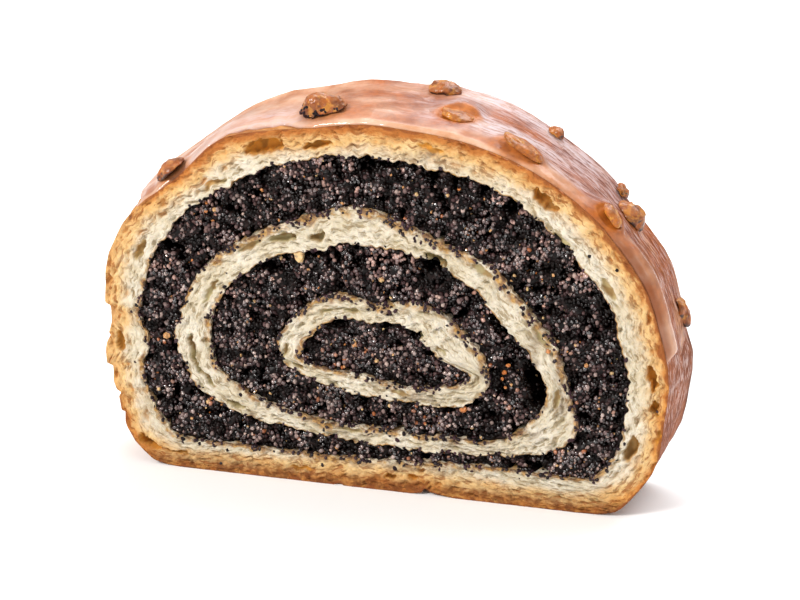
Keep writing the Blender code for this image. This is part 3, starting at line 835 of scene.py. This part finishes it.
def scatter_tree():
    """Sow one small shape over a surface, each copy turned, sized and toned at random."""
    tree = bpy.data.node_groups.new("scatter over a surface", "GeometryNodeTree")
    tree.interface.new_socket("Geometry", in_out="OUTPUT", socket_type="NodeSocketGeometry")
    for name, kind in (("Geometry", "Geometry"), ("Shape", "Object"), ("Most per square metre", "Float"),
                       ("Least spacing", "Float"), ("Smallest", "Float"), ("Largest", "Float"),
                       ("Lift", "Float"), ("Spread in height", "Float"), ("Random seed", "Int"),
                       ("Material", "Material")):
        tree.interface.new_socket(name, in_out="INPUT", socket_type="NodeSocket" + kind)
    given = add_node(tree, "NodeGroupInput").outputs
    lift, spread_up, seed = given["Lift"], given["Spread in height"], given["Random seed"]
    sown = add_node(tree, "GeometryNodeInputNamedAttribute", {"Name": "sown"}, data_type="FLOAT")
    spread = add_node(tree, "GeometryNodeDistributePointsOnFaces", {
        "Mesh": given["Geometry"], "Distance Min": given["Least spacing"],
        "Density Max": given["Most per square metre"], "Density Factor": sown.outputs[0],
        "Seed": seed}, distribute_method="POISSON")
    turn = add_node(tree, "FunctionNodeRandomValue", {
        0: (0.0, 0.0, 0.0), 1: (FULL_TURN, FULL_TURN, FULL_TURN), "Seed": seed}, data_type="FLOAT_VECTOR")
    size = add_node(tree, "FunctionNodeRandomValue", {
        2: given["Smallest"], 3: given["Largest"], "Seed": seed}, data_type="FLOAT")
    rise = add_node(tree, "FunctionNodeRandomValue", {
        2: calculate("SUBTRACT", lift, spread_up), 3: plus(lift, spread_up), "Seed": 7}, data_type="FLOAT")
    tone = add_node(tree, "FunctionNodeRandomValue", {2: 0.0, 3: 1.0, "Seed": 11}, data_type="FLOAT")
    shape = add_node(tree, "GeometryNodeObjectInfo", {"Object": given["Shape"]})
    offset = add_node(tree, "ShaderNodeVectorMath", {
        0: spread.outputs["Normal"], "Scale": rise.outputs[1]}, operation="SCALE")
    raised = add_node(tree, "GeometryNodeSetPosition", {
        "Geometry": spread.outputs["Points"], "Offset": offset.outputs[0]})
    copies = add_node(tree, "GeometryNodeInstanceOnPoints", {
        "Points": raised.outputs[0], "Instance": shape.outputs["Geometry"],
        "Rotation": turn.outputs[0], "Scale": size.outputs[1]})
    toned = add_node(tree, "GeometryNodeStoreNamedAttribute", {
        "Geometry": copies.outputs[0], "Name": "tone", "Value": tone.outputs[1]},
        data_type="FLOAT", domain="INSTANCE")
    real = add_node(tree, "GeometryNodeRealizeInstances", {0: toned.outputs[0]})
    finished = add_node(tree, "GeometryNodeSetMaterial", {
        "Geometry": real.outputs[0], "Material": given["Material"]})
    add_node(tree, "NodeGroupOutput", {0: finished.outputs[0]})
    return tree


scatter = scatter_tree()


def scattered(name, field, shape, material, slot, per_mm2, spacing, sizes, lift, spread, seed):
    """Run the scatter on a field and keep its result as a plain mesh; lengths are in mm."""
    modifier = field.modifiers.new("scatter", "NODES")
    modifier.node_group = scatter
    values = {"Shape": shape, "Most per square metre": per_mm2 / MM ** 2, "Least spacing": spacing * MM,
              "Smallest": sizes[0], "Largest": sizes[1], "Lift": lift * MM, "Spread in height": spread * MM,
              "Random seed": seed, "Material": material}
    for item in scatter.interface.items_tree:
        if item.in_out == "INPUT" and item.name in values:
            modifier[item.identifier] = values[item.name]
    field.update_tag()
    bpy.context.view_layer.update()
    grown = field.evaluated_get(bpy.context.evaluated_depsgraph_get())
    mesh = bpy.data.meshes.new_from_object(grown)
    field.modifiers.remove(modifier)
    mesh.name = name
    piece = linked(name, mesh)
    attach(piece, "root")
    return piece


def paste_material():
    """Near-black paste, grained like the crushed seeds it is made of, painted black as shade where it lies
    deep.
    """
    material, shader = new_material("poppy paste", Roughness=0.6, Specular_IOR_Level=0.04, Coat_Roughness=0.4)
    grains = step("ShaderNodeTexVoronoi", {"Vector": object_space(shader), "Scale": 1 / 0.0007}).outputs
    tone = step("ShaderNodeSeparateColor", {0: grains["Color"]}).outputs[0]
    sunk = own(shader, "sunk")
    # Painted shade: the paste goes black where it lies deep.
    colour = mix(sunk, mix(stretch(tone, 0.3, 1.0), [9, 4, 3], [36, 19, 16]), [3, 2, 2])
    wire(shader, Base_Color=colour, Coat_Weight=stretch(sunk, 0.0, 1.0, 0.3, 0.0))
    bump(shader, grains["Distance"], 1.0, 0.0006, invert=True)
    return material


def seed_material(name, tones, low, **constants):
    """Skins in a range of tones, painted darker between the clumps as shade, pinkish where dusted, wet in
    patches.
    """
    material, shader = new_material(name, **constants)
    place = object_space(shader)
    # Seeds low between the clumps are painted darker, as shade.
    raised = stretch(own(shader, "raised"), 0.05, 0.85, low, 1.0)
    tone = times(own(shader, "tone"), raised)
    ramp = step("ShaderNodeValToRGB", {0: tone})
    while len(ramp.color_ramp.elements) < len(tones):
        ramp.color_ramp.elements.new(0.5)
    for stop, (position, colour) in zip(ramp.color_ramp.elements, tones):
        stop.position = position
        stop.color = shade(colour)
    dusty = mix(patches(place, 0.0012, 0.4, 0.65), [114, 84, 80], [196, 156, 142])
    taken = stretch(plus(tone, own(shader, "dusted")), 0.95, 1.15)
    colour = mix(taken, ramp.outputs[0], dusty)
    colour = mix(times(patches(place, 0.0035, 0.40, 0.62), 0.45), colour, [16, 8, 10])
    # More painted shade low between the clumps.
    colour = mix(stretch(raised, 0.0, 0.9, 0.7, 0.0), colour, [12, 5, 3])
    wire(shader, Base_Color=colour, Coat_Weight=times(patches(place, 0.0022, 0.44, 0.58, 0.1, 1.0), raised))
    netting = step("ShaderNodeTexVoronoi", {"Vector": place, "Scale": 1 / 0.00022},
                   feature="DISTANCE_TO_EDGE")
    bump(shader, netting.outputs["Distance"], 0.5, 0.0001)
    return material


def nut_crumb_material():
    """Crumbs from cream to brown, dusted with dark paste."""
    material, shader = new_material("nut crumb", Roughness=0.5, Subsurface_Weight=0.1,
                                    Subsurface_Scale=0.0008)
    pale = mix(own(shader, "tone"), [210, 176, 124], [180, 100, 34])
    dust = patches(object_space(shader), 0.0006, 0.5, 0.7, 0.0, 0.7)
    wire(shader, Base_Color=mix(dust, pale, [84, 56, 46]))
    return material


def large_bits():
    """The crumbs of nut and dough that stand out in the photographed cut, in one piece."""
    build = bmesh.new()
    tone = build.verts.layers.float.new("tone")
    for number, (pixel_x, pixel_y, size, brown) in enumerate(LARGE_BITS):
        x, z = on_cut_face((pixel_x, pixel_y))
        for corner in bmesh.ops.create_icosphere(build, subdivisions=2, radius=1.0)["verts"]:
            lumpy = 0.85 + 0.5 * noise.noise(corner.co * 1.6 + Vector((number * 5.1, 0, 0)))
            corner.co = corner.co * size * lumpy * MM + Vector((x, CUT_FRONT + 0.6 * size * MM, z))
            corner[tone] = brown
    piece = linked("filling_large_bits", mesh_of(build, "filling_large_bits"))
    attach(piece, "root")
    return piece


paste = paste_material()
seed_skin = seed_material("poppy seed skin", SEED_TONES, 0.14, Roughness=0.36, Coat_Roughness=0.1,
                          Coat_IOR=1.95, Specular_IOR_Level=0.14)
ground_skin = seed_material("ground poppy", GROUND_TONES, 0.14, Roughness=0.3, Coat_Roughness=0.12,
                            Coat_IOR=1.95, Specular_IOR_Level=0.14)
stuck_skin = seed_material("stuck poppy seed", STUCK_TONES, 1.0, Roughness=0.5, Coat_Roughness=0.2,
                           Coat_IOR=1.3, Specular_IOR_Level=0.15)
nut_crumb = nut_crumb_material()
poppy_seed = seed_shape()
ground_bit = crumb_shape("ground_bit", 0.36 * MM, 1.0)
nut_bit = crumb_shape("nut_bit", 0.55 * MM, 3.0)
# What is sown: name, number per square mm in front and behind, then shape, material and slot, and
# then least spacing in mm, range of sizes, lift and spread in height in mm, and first random seed.
sowings = (
    ("seeds", (2.0, 1.6), (poppy_seed, seed_skin, "poppy_filling"),
     (SEED_SPACING, (0.78, 1.22), 0.08, 0.28), 1),
    ("ground", (1.0, 0.7), (ground_bit, ground_skin, "poppy_filling"), (0.3, (0.6, 1.3), 0.35, 0.2), 51),
    ("nut_bits", (0.035, 0.035), (nut_bit, nut_crumb, "walnut"), (1.2, (0.5, 1.1), 0.2, 0.1), 31),
)
for number, (node, rows_across) in enumerate(BEDS):
    bed, fields = filling_bed(node, 20 + number, rows_across)
    bed.data.materials.append(paste)
    for side, field in enumerate(fields):
        for name, per_mm2, things, spread, seed in sowings:
            full_name = f"{node}_{name}_" + ("front", "back")[side]
            scattered(full_name, field, *things, per_mm2[side], *spread, number + seed)
        bpy.data.objects.remove(field)
large_bits().data.materials.append(nut_crumb)


def field_of(piece):
    """A copy of a piece to sow seeds on."""
    return linked(piece.name + "_field", piece.data.copy())


def stray_field(turn):
    """The cut faces of a turn of dough, with how thickly loose seeds lie on them."""
    field = field_of(turn)
    count = len(field.data.vertices)
    stain, spots, normals = np.zeros(count), np.zeros(count * 3), np.zeros(count * 3)
    field.data.attributes["stain"].data.foreach_get("value", stain)
    field.data.vertices.foreach_get("co", spots)
    field.data.vertices.foreach_get("normal", normals)
    spots = spots.reshape(-1, 3)
    cut = ease((np.abs(normals[1::3]) - 0.3) * 4) * ease((np.abs(spots[:, 1]) / MM - 7.5) * 2)
    patchy = ease(0.5 + 2.2 * lumps(spots, 1.8 * MM, 61)) * ease((spots[:, 2] / MM - 1.2) * 2)
    mark(field, "sown", cut * np.clip(ease((stain - 0.12) * 1.6) + 0.004, 0, 1) * patchy)
    return field


for turn, per_mm2 in zip(turns, (2.2, 2.8, 2.8)):
    field = stray_field(turn)
    scattered(turn.name + "_stray_seeds", field, poppy_seed, stuck_skin, "poppy_filling",
              per_mm2, SEED_SPACING, (0.75, 1.15), -0.12, 0.1, 41)
    bpy.data.objects.remove(field)
for shape in (ground_bit, nut_bit):
    bpy.data.objects.remove(shape)


# The glaze. Sugar icing brushed on hot over the top and right of the loaf: thin enough for the
# brown crust to show through, drawn into a bead at the cut and one long run at the right.
GLAZE_STEPS_ACROSS = 60
GLAZE_SIDE = 0.26 * MM
GLAZE_SUNK = 0.6 * MM
GLAZE_ROUNDING = 6
GLAZE_DEPTHS = np.linspace(-9.0, 9.0, 25) * MM
RUN_FROM, RUN_TO = math.radians(0), math.radians(35)
RUN_MIDDLE = 2.4 * MM
SHEET_TO = math.radians(60)
BARE_FROM, BARE_TO = math.radians(106), math.radians(150)
NUT_COUNT = 7
# Nuts under the glaze: pixel across and down, half length and half width in mm.
COVERED_NUTS = [(459, 114, 3.6, 2.6), (517, 155, 4.6, 2.2), (606, 222, 2.8, 2.0)]
glaze_tree = solid_tree("icing")
crust_rim = rim_reader("dough_outer", True)
nut_boxes = [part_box(f"walnut_{n + 1}") for n in range(NUT_COUNT)]
nut_centres = [np.array([(a + b) / 2 for a, b in zip(low, high)]) for low, high in nut_boxes]
nut_sizes = [max(high[0] - low[0], high[1] - low[1]) / 2 for low, high in nut_boxes]
covered_nuts = []
for pixel_x, pixel_y, half_long, half_wide in COVERED_NUTS:
    seen = glaze_tree.ray_cast(camera_place, seen_along((pixel_x, pixel_y)))[0]
    depth = max(seen.y, CUT_FRONT + half_wide * MM + 0.4 * MM)
    outward = Vector((seen.x - heart[0], 0, seen.z - heart[1])).normalized()
    spot = glaze_tree.ray_cast(Vector((heart[0], depth, heart[1])) + outward * FAR, -outward)[0]
    covered_nuts.append((spot, outward, (half_long * MM, half_wide * MM)))


def glaze_reading():
    """The glaze's thickness over the crust, on every sample ray at each of the reading depths."""
    thick = []
    for depth in GLAZE_DEPTHS:
        crust_x, crust_z = crust_rim(sample_angles, depth)
        crust_reach = np.hypot(crust_x - heart[0], crust_z - heart[1])
        thick.append(smoothed(np.maximum(reach_at(glaze_tree, depth) - crust_reach, 0.0), GLAZE_ROUNDING))
    ends = np.array(thick[:1] + thick + thick[-1:])
    return ends[:-2] * 0.25 + ends[1:-1] * 0.5 + ends[2:] * 0.25


def read_between(thickness, angles, depth):
    """The thickness at any depth and angle, from the readings on both sides of it."""
    steps = (np.clip(depth, GLAZE_DEPTHS[0], GLAZE_DEPTHS[-1]) - GLAZE_DEPTHS[0])
    steps = steps / (GLAZE_DEPTHS[1] - GLAZE_DEPTHS[0])
    row = np.minimum(steps.astype(int), len(GLAZE_DEPTHS) - 2)
    column = angles / FULL_TURN * SAMPLES
    before = np.floor(column).astype(int)
    slide = column - before
    near, far = (thickness[row + r, before % SAMPLES] * (1 - slide)
                 + thickness[row + r, (before + 1) % SAMPLES] * slide for r in (0, 1))
    return near * (1 - (steps - row)) + far * (steps - row)


def strap_mesh(name, rows):
    """A closed skin over rows that run from one end of a strap to the other, capped at the ends."""
    piece = band_mesh(name, rows, around=False)
    count, length = rows.shape[:2]
    build = bmesh.new()
    build.from_mesh(piece.data)
    build.verts.ensure_lookup_table()
    build.faces.new([build.verts[row * length] for row in reversed(range(count))])
    build.faces.new([build.verts[row * length + length - 1] for row in range(count)])
    bmesh.ops.recalc_face_normals(build, faces=build.faces)
    build.to_mesh(piece.data)
    build.free()
    piece.data.shade_smooth()
    return piece


def glaze_band():
    """The glaze as one closed strap: relief and masks over the crust, and a sunk underside."""
    thickness = glaze_reading()
    from_below = (sample_angles + math.pi / 2) % FULL_TURN - math.pi / 2
    covered = from_below[thickness.max(axis=0) > 0.05 * MM]
    ends = np.linspace(covered.min() - 0.01, covered.max() + 0.01, SAMPLES)
    x, z = crust_rim(ends, CUT_FRONT)
    walked = np.concatenate([[0], np.cumsum(np.hypot(np.diff(x), np.diff(z)))])
    along = np.linspace(0, walked[-1], int(walked[-1] / GLAZE_SIDE))
    angles = np.interp(along, walked, ends)
    share = 0.5 - 0.5 * np.cos(math.pi * (0.82 * np.linspace(0, 1, GLAZE_STEPS_ACROSS) + 0.09))
    share = ((share - share[0]) / (share[-1] - share[0]))[:, None]
    edge = points(along, 0.0, 0.0)
    wavering = 0.12 + 0.35 * np.abs(lumps(edge, 4 * MM, 51))
    stands_back = ease((angles - BARE_FROM) / 0.25) * ease((BARE_TO - angles) / 0.15)
    front = CUT_FRONT + (wavering + stands_back * (3.0 + 1.8 * lumps(edge, 3 * MM, 57))) * MM
    back = CUT_BACK - (0.12 + 0.35 * np.abs(lumps(edge, 4 * MM, 52))) * MM
    depth = front + (back - front) * share
    thick = read_between(thickness, angles, depth)
    grid, run = np.broadcast_to(angles, depth.shape), np.broadcast_to(along, depth.shape)

    flat, drawn = points(run, depth, 0.0), points(run / 7, depth, 0.0)
    streak = lumps(drawn, 0.8 * MM, 53)
    wide_streak = lumps(drawn, 2.4 * MM, 54)
    blotch = lumps(flat * (0.4, 1, 1), 5 * MM, 55)
    pool = lumps(flat, 3 * MM, 56)
    from_front, from_back = depth - front, back - depth
    run_down = ease((grid - RUN_FROM) / 0.12) * ease((RUN_TO - grid) / 0.18)
    sheet = ease((grid - RUN_TO + 0.2) / 0.2) * ease((SHEET_TO - grid) / 0.3)
    left = ease((grid - math.radians(96)) / 0.35)
    rightward = ease((1.45 - grid) / 0.75)
    away = ease((from_front - (2.2 + 2.2 * run_down) * MM) / (2.5 * MM))
    wrinkled = away * (0.2 + 0.8 * rightward) * (1 - 0.7 * left)
    dark_line = run_down * ease(1 - from_front / (0.9 * MM))
    bead = run_down * np.exp(-((from_front - 2.3 * MM) / (1.5 * MM)) ** 2)
    lip = ease(1 - from_front / (1.5 * MM)) * (1 - sheet) * (1 - run_down)

    x, z = crust_rim(grid, depth)
    amber = 0.45 * sheet * ease(1 - from_front / (4.5 * MM)) * ease(0.7 + pool)
    collar = np.zeros_like(x)
    for number, (centre, size) in enumerate(zip(nut_centres, nut_sizes)):
        distance = np.sqrt((x - centre[0]) ** 2 + (depth - centre[1]) ** 2 + (z - centre[2]) ** 2) / size
        collar = np.maximum(collar, ease(1.75 - distance) * (1.0 if number == 0 else 2.0))
        amber = np.maximum(amber, 0.9 * ease(1.6 - distance + 0.25 * pool))
    for spot, outward, (half_long, half_wide) in covered_nuts:
        past = (x - spot[0]) * outward[2] - (z - spot[2]) * outward[0]
        facing = np.cos(grid) * outward[0] + np.sin(grid) * outward[2] > 0.5
        distance = np.hypot(past / half_long, (depth - spot[1]) / half_wide) + 0.12 * pool
        ring, dip = ease(1 - np.abs(distance - 1.15) / 0.35), ease((1.02 - distance) / 0.2)
        collar = collar + facing * (0.4 * ring - 0.5 * dip)
        amber = np.maximum(amber, 0.95 * facing * ease((1.4 - distance) / 0.4))

    relief = (0.08 * pool + 0.10 * blotch) * MM * (1 - 0.5 * wrinkled) + 0.35 * bead * MM
    relief = relief + wrinkled * (0.17 * streak + 0.10 * wide_streak) * MM + 0.35 * collar * MM
    thinner = 1 - (0.45 - 0.45 * run_down) * ease(1.2 - from_front / (4 * MM))
    soft = (2.6 - 1.5 * run_down) * MM
    rounded = 1 - (1 - np.clip(np.minimum(from_front / soft, from_back / (1.4 * MM)), 0, 1)) ** 2
    ragged_end = (2.4 + 3.6 * lumps(flat * (0, 1, 0), 3 * MM, 58)) * MM
    tongue = 3.5 * ((from_front - RUN_MIDDLE) / (2.3 * MM)) ** 2 * MM
    ending = np.where(from_front < RUN_MIDDLE, tongue, np.minimum(tongue, ragged_end))
    bare = ease(thick / (0.25 * MM)) * ease((run - ending) / (1.6 * MM))
    height = (thick * thinner + relief * bare) * np.sqrt(rounded) - (1 - bare) * GLAZE_SUNK * 0.9
    height = np.minimum(height, thick.max())

    # The sugar's share of the colour; along the lip it also carries a painted highlight.
    veil = 0.33 + 0.46 * blotch + 0.24 * pool + 0.26 * left + 0.25 * run_down * (1 - away)
    veil = veil + 0.70 * lip + wrinkled * (0.35 * streak + 0.35 * wide_streak) - 0.18 * wrinkled * rightward
    # Painted sheen: pale lilac reflection drawn into the colour over the top and at the left.
    haze = away * ease((grid - math.radians(22)) / 0.4) * ease((math.radians(92) - grid) / 0.4)
    haze = np.maximum(haze, 0.7 * left * ease(1.2 - from_front / (9 * MM)))
    haze = haze * np.clip(0.70 + 0.7 * wide_streak + 0.5 * blotch, 0, 1) * (1 - amber)
    wet = 0.40 * (1 - wrinkled) * (1 - 0.4 * ease(1 - from_back / (8 * MM)))
    wet = wet * np.clip(0.75 + 1.2 * pool, 0.2, 1.3) + 0.6 * bead + 0.6 * lip
    outside = points(x + np.cos(grid) * height, depth, z + np.sin(grid) * height)
    within = []
    for spot, inset in ((1.0, -0.25), (0.75, 0.0), (0.5, 0.0), (0.25, 0.0), (0.0, 0.25)):
        deep = front + (back - front) * spot + inset * MM
        x, z = crust_rim(angles, deep)
        within.append(points(x - np.cos(angles) * GLAZE_SUNK, deep, z - np.sin(angles) * GLAZE_SUNK))
    piece = strap_mesh("glaze", np.concatenate([outside, np.array(within)]))
    rest = np.zeros((len(within), len(angles)))
    masks = {"veil": np.clip(veil, 0, 1), "amber": amber, "wrinkled": wrinkled, "haze": haze,
             "dark_line": dark_line, "wet": wet}
    for name, values in masks.items():
        mark(piece, name, np.concatenate([values, rest]))
    fibre = np.concatenate([points(run / 5, depth, 0.0), np.array(within)])
    mark(piece, "fibre", fibre, "FLOAT_VECTOR", "vector")
    return piece


def glaze_material():
    """Pinkish sugar over red-brown crust, smooth where it pools, drawn into wrinkles behind; the wrinkle tops
    and pale streaks are painted sheen, the creases painted shade, the lip a painted highlight.
    """
    material, shader = new_material("sugar glaze", Roughness=0.42, Specular_IOR_Level=0.12,
                                    Coat_Roughness=0.08, Coat_IOR=1.45, Subsurface_Weight=0.10,
                                    Subsurface_Radius=(1.0, 0.6, 0.4), Subsurface_Scale=0.0012)
    place = object_space(shader)
    gaps, height = drawn_strands(shader, 0.0006, 0.0012)
    under, grain = mottled(place, [172, 94, 42], [122, 60, 26], 0.006, 0.0009)
    sugar, _ = mottled(place, [214, 176, 150], [192, 136, 98], 0.006, 0.0016)
    amber, _ = mottled(place, [186, 106, 36], [136, 70, 22], 0.003, 0.0009)
    wrinkled = own(shader, "wrinkled")
    colour = mix(stretch(own(shader, "veil"), 0.0, 0.95), under, sugar)
    # Painted sheen on the wrinkle tops and in pale streaks, and painted shade in the creases.
    colour = mix(times(wrinkled, stretch(height, 0.48, 0.64, 0.0, 0.7)), colour, [190, 160, 156])
    colour = mix(times(own(shader, "haze"), stretch(height, 0.38, 0.58, 0.45, 0.95)), colour, [198, 180, 182])
    colour = mix(times(wrinkled, times(gaps, 0.75)), colour, [98, 50, 38])
    colour = mix(times(own(shader, "amber"), 0.85), colour, amber)
    colour = mix(times(own(shader, "dark_line"), 0.8), colour, [112, 56, 24])
    wire(shader, Base_Color=colour, Coat_Weight=own(shader, "wet"))
    bump(shader, plus(times(grain, 0.25), times(height, wrinkled)), 0.6, 0.0004)
    return material


glaze = glaze_band()
glaze.data.materials.append(glaze_material())
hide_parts("icing")
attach(glaze, "root")


# The nuts. Broken walnut baked on under the glaze, seven pieces that stand clear of it and three
# that only show their tops: ridged, brown and amber, with poppy seeds caught on the first.
NUT_CUTS = 3


def nut_piece(node, seed):
    """The solid's own form with a nut's furrows and broken faces pressed into it."""
    build = bmesh.new()
    build.from_mesh(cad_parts[node].data)
    bmesh.ops.remove_doubles(build, verts=build.verts, dist=0.01 * MM)
    bmesh.ops.subdivide_edges(build, edges=build.edges, cuts=NUT_CUTS, use_grid_fill=True, smooth=0.6)
    build.normal_update()
    low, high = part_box(node)
    shift = Vector((seed * 3.7, 0, 0))
    for corner in build.verts:
        spot = corner.co / (1.6 * MM) + shift
        furrow = abs(noise.noise(spot)) * 0.55 + 0.12 * noise.noise(spot * 3)
        moved = corner.co - corner.normal * furrow * MM
        corner.co = Vector([min(max(value, a), b) for value, a, b in zip(moved, low, high)])
    mesh = mesh_of(build, node + "_nut")
    mesh.shade_smooth()
    piece = linked(node + "_nut", mesh)
    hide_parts(node)
    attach(piece, "root")
    return piece


def covered_nut(name, spot, outward, sizes, seed):
    """A nut lying flat under the glaze, its long side along the loaf's curve, only its top showing."""
    along = Vector((0, 1, 0)).cross(outward).normalized()
    across = outward.cross(along)
    build = bmesh.new()
    bmesh.ops.create_icosphere(build, subdivisions=4, radius=1.0)
    for corner in build.verts:
        lumpy = 0.95 + 0.22 * noise.noise(corner.co * 1.5 + Vector((seed * 3.1, 0, 0)))
        lumpy += 0.06 * noise.noise(corner.co * 4 + Vector((0, seed * 2.3, 0)))
        x, y, z = corner.co * lumpy
        corner.co = spot + along * x * sizes[0] + across * y * sizes[1] + outward * (z - 0.50) * MM
    mesh = mesh_of(build, name)
    mesh.shade_smooth()
    piece = linked(name, mesh)
    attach(piece, "root")
    return piece


def nut_material(name, light, dark, streak, paste_share):
    """Walnut in amber and brown with poppy paste in its hollows, under a film of glaze."""
    material, shader = new_material(name, Roughness=0.45, Specular_IOR_Level=0.25, Coat_Weight=0.35,
                                    Coat_Roughness=0.12, Subsurface_Weight=0.1, Subsurface_Scale=0.001)
    place = object_space(shader)
    colour, grain = mottled(place, light, dark, 0.0026, 0.0007)
    colour = mix(stretch(noise_at(place, 0.0016, 4.0), 0.50, 0.62, 0.0, 0.6), colour, streak)
    normal = add_node(shader.id_data, "ShaderNodeNewGeometry").outputs["Normal"]
    upward = step("ShaderNodeSeparateXYZ", {0: normal}).outputs["Z"]
    film = times(stretch(upward, 0.0, 0.7), patches(place, 0.0014, 0.42, 0.62, 0.05, 0.45))
    colour = mix(film, colour, [186, 128, 84])
    pasty = patches(place, 0.0010, 0.38, 0.5, 0.2 * paste_share, paste_share)
    colour = mix(times(stretch(upward, 0.05, -0.35), pasty), colour, [44, 24, 20])
    wire(shader, Base_Color=colour)
    bump(shader, grain, 0.6, 0.0005)
    return material


glazed_walnut = nut_material("glazed walnut", [172, 94, 32], [84, 36, 14], [204, 138, 52], 0.95)
amber_walnut = nut_material("walnut under glaze", [180, 102, 26], [112, 54, 16], [210, 146, 50], 0.0)
nuts = [nut_piece(f"walnut_{n + 1}", n + 1) for n in range(NUT_COUNT)]
for nut in nuts:
    nut.data.materials.append(glazed_walnut)
for n, (spot, outward, sizes) in enumerate(covered_nuts):
    nut = covered_nut(f"covered_nut_{n + 1}", spot, outward, sizes, n + 1)
    nut.data.materials.append(amber_walnut)
field = field_of(nuts[0])
low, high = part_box("walnut_1")
faces_out = np.array([v.normal[:] for v in field.data.vertices])
heights = np.array([v.co.z for v in field.data.vertices])
lower = ease((0.55 - (heights - low[2]) / (high[2] - low[2])) * 5) * ease((0.1 - faces_out[:, 1]) * 3)
mark(field, "sown", lower)
scattered("walnut_1_seeds", field, poppy_seed, stuck_skin, "poppy_filling",
          2.2, SEED_SPACING, (0.6, 1.0), -0.1, 0.1, 71)
for spare in (field, poppy_seed):
    bpy.data.objects.remove(spare)


# The finished slice: the box round everything it shows.
low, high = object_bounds()
